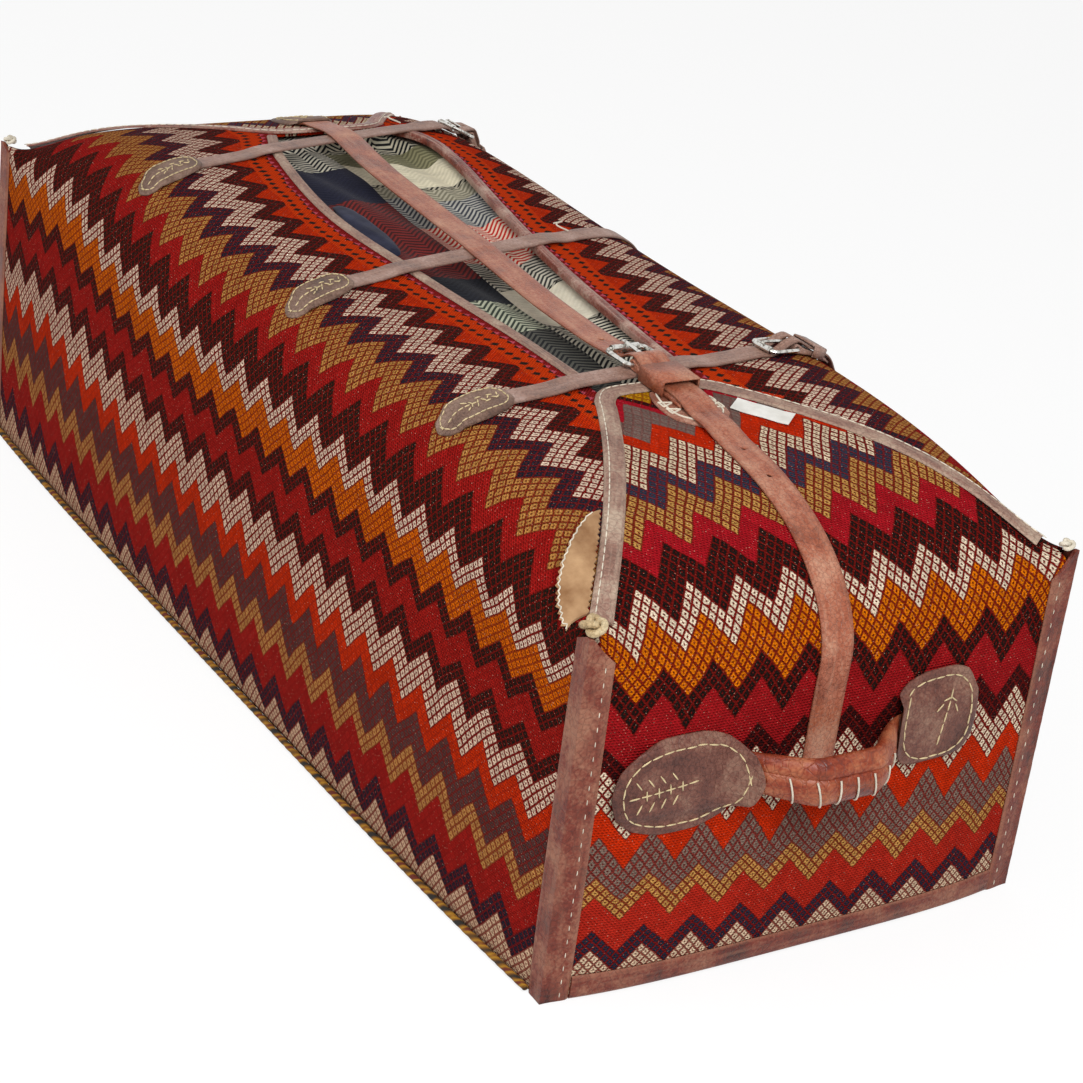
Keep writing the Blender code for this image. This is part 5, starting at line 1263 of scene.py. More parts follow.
def hide_strap(name, node, path, across, width, finish, point, blunt, slot, holes, seed):
    """A leather strap with eased edges; slot is (matrix, start, stop, half width), holes (place, radius).

    The edges wander a little and the face has fine wrinkles, as on a used strap.
    """
    columns = 12
    lower, upper, strip = [], [], []
    lengths = run_lengths(path)
    for i, place in enumerate(path):
        ahead = (path[min(i + 1, len(path) - 1)] - path[max(i - 1, 0)]).normalized()
        normal = ahead.cross(across[i]).normalized()
        sideways = normal.cross(ahead).normalized()
        half = width / 2 * (1 - 0.018 + 0.018 * noise.noise(Vector((lengths[i] / 0.05, seed, 0))))
        left = lengths[-1] - lengths[i]
        if left < point:
            half *= blunt + (1 - blunt) * math.sqrt(max(0.0, 1 - (1 - left / point) ** 2))
        near, away = [], []
        for j in range(columns + 1):
            share = 2 * j / columns - 1
            share = math.copysign(abs(share) ** 0.8, share)
            spot = place + sideways * half * share
            ease = 0.0005 * abs(share) ** 12
            near.append(spot + normal * ease)
            away.append(spot + normal * (STRAP - ease * 1.5 + 0.00015 * wrinkle(lengths[i], share, seed)))
            strip.append((lengths[i], share))
        lower.append(near)
        upper.append(away)
    obj = made(name, *slab(lower, upper), finish, {"strip": strip * 2})
    tools = []
    if slot:
        matrix, start, stop, half_slot = slot
        box = [Vector((x, y, z)) for z in (-0.012, 0.012)
               for x, y in ((start, -half_slot), (stop, -half_slot), (stop, half_slot), (start, half_slot))]
        tools.append(made(name + "_slot", [matrix @ p for p in box],
                          rings([range(4), range(4)])[1], finish))
    for place, ahead, side_way, radius in holes:
        normal = ahead.cross(side_way).normalized()
        ring = [ahead.normalized() * radius * math.cos(a) + side_way.normalized() * radius * math.sin(a)
                for a in [2 * math.pi * m / 14 for m in range(14)]]
        outlines = [[place + p + normal * z for p in ring] for z in (-0.004, 0.008)]
        tools.append(made(name + "_hole", *rings(outlines), finish))
    for tool in tools:
        cut = obj.modifiers.new(tool.name, "BOOLEAN")
        cut.operation = "DIFFERENCE"
        cut.solver = "EXACT"
        cut.object = tool
    if tools:
        mesh = settled(obj)
        mesh.materials.clear()
        mesh.materials.append(finish)
        for tool in tools:
            bpy.data.objects.remove(tool, do_unlink=True)
    return on_bag(obj, node)


def softened(node, finish, bevel=0.0005):
    """A packed leather piece with its edges eased: a copy that replaces it."""
    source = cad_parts[node]
    mesh = source.data.copy()
    shape = bmesh.new()
    shape.from_mesh(mesh)
    bmesh.ops.remove_doubles(shape, verts=shape.verts, dist=1e-6)
    bmesh.ops.dissolve_limit(shape, angle_limit=math.radians(2), verts=shape.verts, edges=shape.edges)
    edges = [e for e in shape.edges if len(e.link_faces) == 2 and e.calc_face_angle() > math.radians(35)]
    bmesh.ops.bevel(shape, geom=edges, offset=bevel, segments=2, affect="EDGES", clamp_overlap=True)
    bmesh.ops.triangulate(shape, faces=[f for f in shape.faces if len(f.verts) > 4])
    shape.to_mesh(mesh)
    shape.free()
    mesh.shade_smooth()
    mesh.set_sharp_from_angle(angle=math.radians(45))
    mesh.materials.clear()
    mesh.materials.append(finish)
    return on_bag(placed(node + "_hide", mesh), node)


def cross_x(name, reach):
    """Place along the bag of a cross strap's middle, which slants a little."""
    middle, slant, _ = CROSS_STRAPS[name]
    return middle + slant * reach


def raised(table_of_clear, distance):
    """Rise of a patch over what it covers, (away from it, on it, width of the slope), at a distance."""
    low, high, reach = table_of_clear
    share = min(1.0, max(0.0, 1 - distance / reach))
    return low + (high - low) * share * share * (3 - 2 * share)


def box_distance(x, y, low_x, high_x, low_y, high_y):
    dx = max(low_x - x, 0.0, x - high_x)
    dy = max(low_y - y, 0.0, y - high_y)
    return math.hypot(dx, dy)


def outline_point(outline, turn):
    """A point at a share of the way round a closed outline."""
    count = len(outline)
    at = turn % 1.0 * count
    i = int(at)
    p = [Vector(outline[(i + k) % count]) for k in (-1, 0, 1, 2)]
    t = at - i
    smooth = 0.5 * (2 * p[1] + (p[2] - p[0]) * t + (2 * p[0] - 5 * p[1] + 4 * p[2] - p[3]) * t ** 2
                    + (3 * p[1] - p[0] - 3 * p[2] + p[3]) * t ** 3)
    return p[1].lerp(p[2], t) * 0.45 + smooth * 0.55


def hide_patch(name, node, outline, point_at, finish, under=None, curl=None, seed=0.0):
    """A sewn leather patch with thinned edges, laid over what is under it; gives its face for sewing."""
    around, inward = 84, 12
    middle = sum((Vector(p) for p in outline), Vector((0, 0))) / len(outline)
    rim = [outline_point(outline, k / around) for k in range(around)]

    def face(place, layer):
        rise = GAP + (under(place.x, place.y) if under else 0.0) + (curl(place.y) if curl else 0.0)
        edge = 0.42 + 0.58 * min(1.0, (1 - layer) / 0.10) ** 0.5
        lump = 0.0005 * rough((place.x, place.y, 0), 0.013, seed) + 0.0002 * rough(
            (place.x, place.y, 0), 0.004, seed + 3)
        return rise, rise + PATCH * edge + lump * min(1.0, (1 - layer) * 4)

    verts_low, verts_high = [], []
    layers = [1 - (k / inward) ** 1.5 for k in range(inward)]
    for layer in layers:
        for p in rim:
            place = middle.lerp(p, layer)
            low, high = face(place, layer)
            verts_low.append(point_at(place.x, place.y, low))
            verts_high.append(point_at(place.x, place.y, high))
    low, high = face(middle, 0.0)
    verts_low.append(point_at(middle.x, middle.y, low))
    verts_high.append(point_at(middle.x, middle.y, high))
    above = len(verts_low)
    faces = []
    for layer in range(inward - 1):
        for j in range(around):
            k = (j + 1) % around
            a = layer * around
            faces.append((a + j, a + k, a + around + k, a + around + j))
    last = (inward - 1) * around
    faces += [(last + j, last + (j + 1) % around, above - 1) for j in range(around)]
    faces += [tuple(index + above for index in reversed(f)) for f in faces]
    faces += [(j, (j + 1) % around, (j + 1) % around + above, j + above) for j in range(around)]
    obj = on_bag(made(name, verts_low + verts_high, faces, finish), node)

    def on_face(x, y):
        place = Vector((x, y))
        return point_at(x, y, face(place, 0.5)[1] + 0.0003)

    return obj, on_face


def sewn_round(outline, on_face, inset, count=90):
    """A closed run of thread inside a patch's outline."""
    middle = sum((Vector(p) for p in outline), Vector((0, 0))) / len(outline)
    run = []
    for k in range(count + 1):
        p = outline_point(outline, k / count)
        away = p - middle
        run.append(on_face(*(middle + away * (1 - inset / away.length))))
    return run


def motif(on_face, centre, turn, lines, size):
    """Straight runs of thread drawn on a patch, from a list of lines in the motif's own units."""
    runs = []
    for line in lines:
        run = []
        for (ax, ay), (bx, by) in zip(line, line[1:]):
            for k in range(7):
                t = k / 6
                x, y = (ax + (bx - ax) * t) * size, (ay + (by - ay) * t) * size
                run.append(on_face(centre[0] + x * math.cos(turn) - y * math.sin(turn),
                                   centre[1] + x * math.sin(turn) + y * math.cos(turn)))
        runs.append(run)
    return runs


# Outlines of the cross straps' patches and of the shield under the long strap, from -1 to 1
CROSS_PATCH = ((0, -1.0), (0.55, -0.86), (0.92, -0.42), (1.0, 0.15), (0.86, 0.72), (0.45, 0.97), (0, 1.0),
               (-0.45, 0.97), (-0.86, 0.72), (-1.0, 0.15), (-0.92, -0.42), (-0.55, -0.86))
SHIELD = ((1.0, 0.0), (0.80, 0.42), (0.38, 0.92), (-0.10, 1.0), (-0.62, 0.88), (-1.0, 0.60),
          (-1.0, -0.60), (-0.62, -0.88), (-0.10, -1.0), (0.38, -0.92), (0.80, -0.42))
# Thread drawings on the patches: arrow, fir twig, zigzag and small triangles
ARROW = [[(-1.0, 0), (0.9, 0)], [(0.35, 0.42), (0.9, 0), (0.35, -0.42)]]
TWIG = [[(-1, 0), (1, 0)]] + [[(k - 0.25, 0.42), (k, 0), (k - 0.25, -0.42)] for k in (-0.6, -0.2, 0.2, 0.6)]
ZIGZAG = [[(-0.9, -0.4), (-0.5, 0.5), (-0.1, -0.4), (0.3, 0.5), (0.7, -0.4), (0.95, 0.3)]]
PEAKS = [[(-0.9, -0.4), (-0.55, 0.5), (-0.2, -0.4), (-0.9, -0.4)],
         [(0.1, -0.4), (0.45, 0.5), (0.8, -0.4), (0.1, -0.4)]]


def cross_strap(name, looks, thread):
    """One strap across the mouth, with its sewn patch, chape and keeper."""
    roller_reach = CROSS_STRAPS[name][2]
    roller, span = CROSS_BUCKLE.roller, CROSS_BUCKLE.span

    def point_at(reach, lift):
        return across_skin(cross_x(name, reach), reach, lift)

    seat = skin_frame(point_at, roller_reach + span / 2)
    height = GAP + STRAP + RUNNING + roller
    heel_at = Vector((span / 2, 0, height))
    heel_reach = roller_reach + span
    over = OVER_BINDING
    front = min(lip_y(-1, cross_x(name, -0.07)), -0.05) - LIP_BINDING
    back = lip_y(1, cross_x(name, roller_reach * 0.6)) + LIP_BINDING

    def place(reach, lift):
        step = CROSS_WIDTH / 2
        x = cross_x(name, reach)
        return point_at(reach, lift), across_skin(x - step, reach) - across_skin(x + step, reach)

    low = ON_SKIN
    table = [(-CROSS_SPAN, low), (-CROSS_SPAN + 0.03, low), (front - 0.030, low), (front - 0.006, over),
             (front + 0.02, over + SLACK), (front * 0.35, over + SLACK), (back * 0.5, over + SLACK),
             (back - 0.014, over + SLACK), (back + 0.001, over)]
    run_in = roller_reach - 0.030 - (back + 0.020)
    if run_in > 0:
        count = 1 + round(run_in / 0.016)
        table += [(back + 0.020 + run_in * k / count, low) for k in range(count + 1)]
    controls = [place(reach, lift) for reach, lift in table]
    rise = ((0.34, 0.20), (0.52, 0.50), (0.70, 0.82))
    through = buckle_run(CROSS_BUCKLE, seat, height, rise, 0.0002 if run_in > 0 else 0.001)
    tail = [place(heel_reach + d, lift) for d, lift in (
        (0.013, 0.0080), (0.023, 0.0069), (0.034, 0.0067), (0.044, 0.0060), (0.056, 0.0024),
        (0.068, low + 0.0003), (0.082, low + 0.0003))]
    path, lean = strap_path(controls + through + tail, 5)
    slot = (seat @ Matrix.Translation(heel_at), -1.05 * span, -0.04 * span, CROSS_BUCKLE.pin + 0.0009)
    hide_strap(f"cross_strap_{name}_hide", "cross_strap_" + name, path, lean, CROSS_WIDTH,
               looks["cross_strap_hide"], STRAP_POINT, 0.15, slot, [], 11 + roller_reach)
    softened("cross_chape_" + name, looks["cross_strap_hide"])
    softened("cross_keeper_" + name, looks["cross_strap_hide"])

    half = CROSS_WIDTH / 2 + 0.004
    stop = -CROSS_SPAN

    def strap_under(across, reach):
        spread = box_distance(across, reach, -half, half, stop - 0.012, stop + 0.2)
        return raised((0.0, STRAP + 3 * GAP, 0.008), spread)

    def skin(across, reach, lift):
        return across_skin(cross_x(name, reach) + across, reach, lift)

    centre = stop + 0.004
    length, width = PATCH_LENGTH / 2, PATCH_WIDTH / 2
    outline = [(width * x, centre + length * y) for x, y in CROSS_PATCH]
    _, on_face = hide_patch(f"cross_patch_{name}_hide", "cross_patch_" + name, outline, skin,
                            looks["patch_hide"], strap_under, seed=roller_reach * 9)
    thread.append(sewn_round(outline, on_face, 0.0055))
    thread.extend(motif(on_face, (0, centre - 0.010), math.radians(90), ARROW, 0.013))
    thread.extend(motif(on_face, (0, centre + 0.014), math.radians(90), ZIGZAG, 0.012))


def long_y(reach):
    """Place across the bag of the long strap's middle."""
    start = tip_x(-1)
    return table_value(((start, LONG_FAR_Y), (0.5 * start, LONG_FAR_Y * 0.55), (LONG_ROLLER_X - 0.04, 0.0),
                        (LONG_ROLLER_X + 0.2, 0.0), (HALF_LENGTH + 0.18, LONG_TAIL_Y)), reach)


def long_strap(looks, gold, white):
    """The strap along the mouth, from the far flap through its buckle and down the near end."""
    bar, span = LONG_BUCKLE.bar, LONG_BUCKLE.span

    def point_at(reach, lift):
        return along_skin(reach, long_y(reach), lift)

    over_cross = OVER_BINDING + SLACK + STRAP + GAP
    seat = skin_frame(point_at, LONG_ROLLER_X + span / 2)
    height = over_cross + bar + RUNNING + CHAPE + GAP
    heel_at = Vector((span / 2, 0, height))
    heel_reach = LONG_ROLLER_X + span
    tip = tip_x(-1)
    first = cross_x("far", long_y(-0.36))
    second = cross_x("middle", long_y(-0.02))
    half = CROSS_WIDTH / 2 + 0.006

    def place(reach, lift):
        y = long_y(reach)
        step = LONG_WIDTH / 2
        return point_at(reach, lift), along_skin(reach, y + step, 0.0) - along_skin(reach, y - step, 0.0)

    controls = [place(reach, lift) for reach, lift in (
        (tip - 0.046, GAP), (tip - 0.030, GAP), (tip - 0.019, OVER_BINDING),
        (tip - 0.004, OVER_BINDING + 0.0004),
        (first - half, over_cross), (first, over_cross + 0.0004), (first + half, over_cross),
        ((first + second) / 2 - 0.06, 0.0045), ((first + second) / 2 + 0.05, 0.0040),
        (second - half, over_cross), (second, over_cross + 0.0004), (second + half, over_cross),
        ((second + LONG_ROLLER_X) / 2, 0.0042), (LONG_ROLLER_X - 0.045, 0.0034))]
    through = buckle_run(LONG_BUCKLE, seat, height, ((0.36, 0.25), (0.55, 0.54), (0.73, 0.84)), -0.0006)
    tail_reach = end_profile(1, LONG_TAIL_Y)[1][-1] - LONG_TAIL_HEIGHT
    low = ON_SKIN
    tail = [(0.013, 0.0142), (0.024, 0.0108), (0.040, 0.0096), (0.060, 0.0093), (0.074, 0.0080),
            (0.090, OVER_BINDING + 0.0008), (0.112, OVER_BINDING + 0.0003)]
    tail = [place(heel_reach + d, lift) for d, lift in tail]
    start = heel_reach + 0.135
    steps = 24
    tail += [place(start + (tail_reach - start) * k / steps, low) for k in range(steps + 1)]
    path, lean = strap_path(controls + through + tail, 6)
    slot = (seat @ Matrix.Translation(heel_at), -1.05 * span, -0.04 * span, LONG_BUCKLE.pin + 0.0009)
    holes = []
    for reach, radius in ((LONG_ROLLER_X - 0.034, 0.0030), (heel_reach + 0.150, 0.0022),
                          (heel_reach + 0.190, 0.0024), (tail_reach - 0.021, 0.0022)):
        i = min(range(len(path)), key=lambda m: (path[m] - point_at(reach, 0.002)).length)
        holes.append((path[i], path[i + 1] - path[i], lean[i], radius))
    hide_strap("long_strap_hide", "long_strap", path, lean, LONG_WIDTH, looks["long_strap_hide"],
               STRAP_POINT * 1.6, 0.1, slot, holes, 4.0)
    softened("long_chape", looks["long_strap_hide"])
    softened("long_keeper", looks["long_strap_hide"])

    centre = tip_x(1) + FLAP_BINDING * 0.72 + 0.0015 + SHIELD_LENGTH / 2
    length, width = SHIELD_LENGTH / 2, SHIELD_WIDTH / 2
    outline = [(centre + length * x, width * y) for x, y in SHIELD]
    _, on_face = hide_patch("near_strap_patch_hide", "near_strap_patch", outline, along_skin,
                            looks["shield_hide"], seed=2.0)
    white.append(sewn_round(outline, on_face, 0.0060))
    for y in (-0.021, 0.021):
        white.extend(motif(on_face, (centre - 0.004, y), 0.0 if y < 0 else math.pi, PEAKS, 0.013))

    half = LONG_WIDTH / 2 + 0.004

    def strap_under(x, y):
        spread = box_distance(x, y, tip - 0.050, tip, LONG_FAR_Y - half, LONG_FAR_Y + half)
        over = OVER_BINDING if x > tip - 0.024 else GAP
        return raised((0.0, STRAP + over, 0.010), spread)

    outline = ellipse(tip - 0.052, LONG_FAR_Y, 0.032, 0.030, 14, 2.8)
    _, on_face = hide_patch("far_strap_patch_hide", "far_strap_patch", outline, along_skin,
                            looks["patch_hide"], strap_under, seed=5.0)
    gold.append(sewn_round(outline, on_face, 0.0060))
    gold.extend(motif(on_face, (tip - 0.056, LONG_FAR_Y), 0.0, ARROW, 0.014))


def ellipse(cx, cy, half_x, half_y, count, power=2.0, turn=0.0):
    points = []
    for k in range(count):
        a = 2 * math.pi * k / count
        x = half_x * math.copysign(abs(math.cos(a)) ** (2 / power), math.cos(a))
        y = half_y * math.copysign(abs(math.sin(a)) ** (2 / power), math.sin(a))
        points.append((cx + x * math.cos(turn) - y * math.sin(turn),
                       cy + x * math.sin(turn) + y * math.cos(turn)))
    return points


# ---- handles, knots and small pieces ----

def grip_lift(y):
    """Lift of the grip's centre line, its half depth and its half height at a place along it."""
    flat = 0.0016
    start, stop = GRIP_LEFT + 0.022, GRIP_RIGHT - 0.022
    run = 0.055
    share = min(1.0, max(0.0, min(y - start, stop - y) / run))
    ease = share * share * (3 - 2 * share)
    swell = min(1.0, max(0.0, min(y - start + 0.012, stop - y + 0.012) / 0.030))
    swell = swell * swell * (3 - 2 * swell)
    half_depth = flat + (GRIP_HALF_DEPTH - flat) * swell
    half_height = 0.017 + (GRIP_HALF_HEIGHT - 0.017) * ease
    return GAP + half_depth + HANDLE_RISE * ease, half_depth, half_height


def grip_point(end, y, angle, proud=0.0):
    lift, half_depth, half_height = grip_lift(y)
    return end_point(end, end * y, HANDLE_HEIGHT + (half_height + proud) * math.sin(angle),
                     lift + (half_depth + proud) * math.cos(angle))


def handle(name, end, looks, gold, white):
    """A padded leather grip laced along its lower side, its flat ends sewn under two patches."""
    first, last = GRIP_LEFT - 0.014, GRIP_RIGHT + 0.014
    steps, around = 120, 40
    outlines, strip = [], []
    for k in range(steps + 1):
        y = first + (last - first) * k / steps
        taper = 0.75 + 0.25 * min(1.0, k / 8, (steps - k) / 8)
        _, half_depth, half_height = grip_lift(y)
        outline = []
        for m in range(around):
            a = 2 * math.pi * m / around
            plump = min(1.0, half_depth / GRIP_HALF_DEPTH)
            crease = -0.0006 * plump * (1 + wrinkle(y, math.cos(a) * 2, end)) * 0.5
            crease -= 0.0032 * plump * max(0.0, 1 - abs(a - math.radians(17)) / 0.22) ** 2
            crease -= 0.0040 * max(0.0, 1 - math.hypot(y - 0.004, 0.02 * (a - 0.9)) / 0.0045)
            out = grip_point(end, y, a, crease)
            middle = end_point(end, end * y, HANDLE_HEIGHT, grip_lift(y)[0])
            out.z = middle.z + (out.z - middle.z) * taper
            outline.append(out)
            strip.append((y, 0.8 * math.sin(a)))
        outlines.append(outline)
    grip = on_bag(made(name + "_grip_hide", *rings(outlines), looks["grip_hide"], {"strip": strip}),
                  name + "_grip")
    for k in range(8):
        y = GRIP_LEFT + 0.034 + 0.0178 * k
        white.append([grip_point(end, y + (0.006 + 0.002 * (k % 3)) * (m / 14 - 0.5),
                                 math.radians(14 - 98 * m / 14), 0.0005) for m in range(15)])

    for part, (cy, cz, half_y, half_z), power in (("left_patch", LEFT_PATCH, 2.3),
                                                  ("right_patch", RIGHT_PATCH, 2.8)):
        inner = 1 if part == "left_patch" else -1

        def under(y, z, inner=inner, cy=cy, half_y=half_y):
            lift, half_depth, half_height = grip_lift(y)
            low = first if inner > 0 else cy - half_y
            high = cy + half_y if inner > 0 else last
            y = min(max(y, first), last)
            margin = 0.010
            spread = box_distance(y, z, low - margin, high + margin,
                                  HANDLE_HEIGHT - half_height - margin,
                                  HANDLE_HEIGHT + half_height + margin)
            return raised((0.0, lift + half_depth + 4 * GAP, 0.009), spread)

        def curl(z, cz=cz, half_z=half_z):
            return 0.006 * max(0.0, (z - cz) / half_z - 0.45) ** 1.5

        outline = ellipse(cy, cz, half_y, half_z, 14, power, 0.04)
        _, on_face = hide_patch(f"{name}_{part}_hide", f"{name}_{part}", outline,
                                lambda y, z, lift: end_point(end, end * y, z, lift),
                                looks["handle_patch_hide"], under,
                                None if inner > 0 else curl, seed=end + cy)
        gold.append(sewn_round(outline, on_face, 0.0085))
        if inner > 0:
            gold.extend(motif(on_face, (cy - 0.018, cz), math.radians(8), TWIG, 0.026))
        else:
            gold.extend(motif(on_face, (cy + 0.008, cz), math.radians(80), ARROW, 0.022))


def corner_knot(name, end, side, scale, settle, finish):
    """A thong knotted into a trefoil, settled on the corner's top."""
    loop, thong = KNOT_LOOP * scale, KNOT_THONG * scale
    base = CORNER_HEIGHT + GAP + thong + loop * 0.5 - settle
    centre = Vector((end * (HALF_LENGTH - 0.004), side * (HALF_WIDTH - 0.004), base))
    count, around = 120, 12
    path = []
    for k in range(count):
        t = 2 * math.pi * k / count
        spread = loop * (1.35 + 0.62 * math.cos(3 * t))
        path.append(centre + Vector((spread * math.cos(2 * t) * 0.62, spread * math.sin(2 * t) * 0.62,
                                     loop * 0.5 * math.sin(3 * t))))
    outlines = []
    for k, place in enumerate(path):
        ahead = (path[(k + 1) % count] - path[k - 1]).normalized()
        out = (place - centre).normalized()
        side_way = ahead.cross(out).normalized()
        out = side_way.cross(ahead)
        uneven = 1 - 0.08 * (1 + rough(place, 0.004, scale))
        outlines.append([place + thong * uneven * (math.cos(a) * out + math.sin(a) * side_way)
                         for a in [2 * math.pi * m / around for m in range(around)]])
    on_bag(made(name + "_thong", *rings(outlines, closed=True), finish), name)


def front_shoulder(x, beyond, lift):
    """Point on the front side panel, a distance down from the hip seam of the near flap."""
    share = next((k / 60 for k in range(60) if hip(1, -1, k / 60).x < x), 1.0)
    return across_skin(x, -(reach_across(-1, x, hip(1, -1, share).y) + beyond), lift)


def suede_leaf(finish, thread):
    """The loose leather tongue at the near front corner, curled along its free edge."""
    length, width = TONGUE_LEAF
    start = HALF_LENGTH - 0.030
    lower, upper, edge = [], [], []
    steps, columns = 60, 18
    for k in range(steps + 1):
        share = k / steps
        x = start - length * 0.78 * share
        wide = width * (0.25 + 0.75 * math.sin(math.pi * min(1.0, 0.12 + 0.88 * share)) ** 0.7)
        near, away = [], []
        for j in range(columns + 1):
            part = j / columns
            curl = 0.010 * part * part * math.sin(math.pi * share)
            beyond = FLAP_BINDING * 0.56 + wide * part
            thick = 0.0018 * (1 - 0.5 * part ** 6)
            near.append(front_shoulder(x, beyond, GAP + 0.0012 + curl))
            away.append(front_shoulder(x, beyond, GAP + 0.0012 + curl + thick))
        lower.append(near)
        upper.append(away)
        edge.append(away[-2] + Vector((0, 0, 0.0003)))
    on_bag(made("suede_leaf_hide", *slab(lower, upper), finish), "suede_leaf")
    thread.append(edge)


def blank_tag(finish):
    """A blank card tag, its corners lifting a little."""
    x, y, length, width = TAG
    turn = math.radians(-50.5)
    lower, upper = [], []
    columns, rows = 30, 14
    for i in range(rows + 1):
        a = i / rows - 0.5
        near, away = [], []
        for j in range(columns + 1):
            b = j / columns - 0.5
            px = x + a * width * math.cos(turn) - b * length * math.sin(turn)
            py = y + a * width * math.sin(turn) + b * length * math.cos(turn)
            lift = GAP + 0.0006 + 0.0016 * max(0.0, abs(2 * b) - 0.6) + 0.0003 * rough((px, py, 0), 0.012)
            near.append(along_skin(px, py, lift))
            away.append(along_skin(px, py, lift + 0.0006))
        lower.append(near)
        upper.append(away)
    on_bag(made("blank_card_tag", *slab(lower, upper), finish), "blank_tag")


# ---- thread, by Geometry Nodes ----

def thread_tree(name, with_gaps):
    """Thread along every line of a mesh: whole, or as stitches at a set pitch."""
    tree = bpy.data.node_groups.new(name, "GeometryNodeTree")
    face = tree.interface
    face.new_socket("Lines", in_out="INPUT", socket_type="NodeSocketGeometry")
    for label in ("Pitch", "Stitch", "Thickness"):
        face.new_socket(label, in_out="INPUT", socket_type="NodeSocketFloat")
    face.new_socket("Thread", in_out="INPUT", socket_type="NodeSocketMaterial")
    face.new_socket("Sewn", in_out="OUTPUT", socket_type="NodeSocketGeometry")
    given = add(tree, "NodeGroupInput")
    curve = add(tree, "GeometryNodeMeshToCurve", {0: given.outputs["Lines"]})
    points = add(tree, "GeometryNodeResampleCurve", {0: curve, "Length": given.outputs["Pitch"]},
                 mode="LENGTH")
    if with_gaps:
        tangent = add(tree, "GeometryNodeInputTangent")
        turned = add(tree, "FunctionNodeAlignRotationToVector", {"Vector": tangent}, axis="Z")
        half = add(tree, "ShaderNodeMath", {0: given.outputs["Stitch"], 1: 0.5}, operation="MULTIPLY")
        bead = add(tree, "GeometryNodeMeshIcoSphere", {"Radius": 1.0, "Subdivisions": 2})
        size = add(tree, "ShaderNodeCombineXYZ", {0: given.outputs["Thickness"],
                                                  1: given.outputs["Thickness"], 2: half})
        thread = add(tree, "GeometryNodeInstanceOnPoints",
                     {"Points": points, "Instance": bead, "Rotation": turned, "Scale": size})
    else:
        section = add(tree, "GeometryNodeCurvePrimitiveCircle",
                      {"Resolution": 8, "Radius": given.outputs["Thickness"]})
        thread = add(tree, "GeometryNodeCurveToMesh", {"Curve": points, "Profile Curve": section,
                                                       "Fill Caps": True})
    made_real = add(tree, "GeometryNodeRealizeInstances", {0: thread})
    smooth = add(tree, "GeometryNodeSetShadeSmooth", {0: made_real})
    coloured = add(tree, "GeometryNodeSetMaterial", {0: smooth, "Material": given.outputs["Thread"]})
    add(tree, "NodeGroupOutput", {0: coloured})
    return tree


def sew(name, tree, runs, finish, sizes):
    """One piece with all the stitches along the given runs of points."""
    mesh = bpy.data.meshes.new(name + "_runs")
    verts, edges = [], []
    for run in runs:
        edges += [(len(verts) + k, len(verts) + k + 1) for k in range(len(run) - 1)]
        verts += [tuple(p) for p in run]
    mesh.from_pydata(verts, edges, [])
    obj = placed(name, mesh)
    modifier = obj.modifiers.new("thread", "NODES")
    modifier.node_group = tree
    values = dict(zip(("Pitch", "Stitch", "Thickness"), sizes), Thread=finish)
    for item in tree.interface.items_tree:
        if item.name in values:
            modifier[item.identifier] = values[item.name]
    settled(obj)
    return on_bag(obj)


def beside(path, offset, lift):
    """A run of thread on the bag's top, at an offset from a plan path."""
    run = []
    for i, place in enumerate(path):
        spot = place + plan_across(path, i) * offset
        rise = lift + CORNER_RISE * (1 - from_corner(place))
        run.append(top_point(*kept_on_top(spot), rise))
    return run


def sew_bindings(looks, spaced):
    """The long white thread along the flaps' bindings and the dashes down the corners."""
    face = GAP + LEATHER + 0.0001
    for end in (1, -1):
        path = flap_path(end)
        inner = FLAP_BINDING * 0.22 - FLAP_BINDING / 2 + 0.0042
        sew("flap_thread_" + ("near" if end > 0 else "far"), spaced,
            [beside(path, inner, face)], looks["white_thread"], FLAP_THREAD)
    dashes = []
    for end in (1, -1):
        for side in (1, -1):
            y = side * (HALF_WIDTH - CORNER_END_FLANGE * 0.62)
            height = edge_height(HALF_LENGTH, y)
            dashes.append([end_point(end, y, height * (0.02 + 0.94 * k / 59), face) for k in range(60)])
    sew("corner_dashes", spaced, dashes, looks["white_thread"], CORNER_DASHES)


# ---- the bag ----

looks = finishes()
side_panel("front_panel", -1, looks["side_wool"])
side_panel("back_panel", 1, looks["side_wool"])
end_panel("near_end_panel", 1, looks["end_wool"])
end_panel("far_end_panel", -1, looks["end_wool"])
base_panel(looks["base_wool"])
blanket_filling(looks["blankets"])
tucked_cloth(looks["indigo_cloth"])
gold, white, cross_gold = [], [], []
for end, end_name in ((1, "near"), (-1, "far")):
    for side, side_name in ((-1, "front"), (1, "back")):
        corner_binding(f"corner_binding_{end_name}_{side_name}", end, side, looks["binding_hide"])
    base_binding("base_binding_" + end_name, end, looks["binding_hide"])
    flap_binding("flap_binding_" + end_name, end, looks["pale_edge" if end > 0 else "rolled_hide"])
    handle("handle_" + end_name, end, looks, gold, white)
lip_binding("lip_binding_front", -1, looks["pale_edge"])
lip_binding("lip_binding_back", 1, looks["rolled_hide"])
base_cord("base_selvedge_front", -1, looks["twisted_cord"])
base_cord("base_selvedge_back", 1, looks["twisted_cord"])
corner_knot("rawhide_knot", 1, -1, 1.0, RAWHIDE_SETTLE, looks["rawhide"])
corner_knot("thread_knot_near", 1, 1, THREAD_KNOT_SCALE, THREAD_SETTLE, looks["white_thread"])
corner_knot("thread_knot_far", -1, -1, THREAD_KNOT_SCALE, THREAD_SETTLE, looks["white_thread"])
leaf_edge = []
suede_leaf(looks["suede"], leaf_edge)
blank_tag(looks["tag_card"])
long_strap(looks, cross_gold, white)
for strap in CROSS_STRAPS:
    cross_strap(strap, looks, cross_gold)

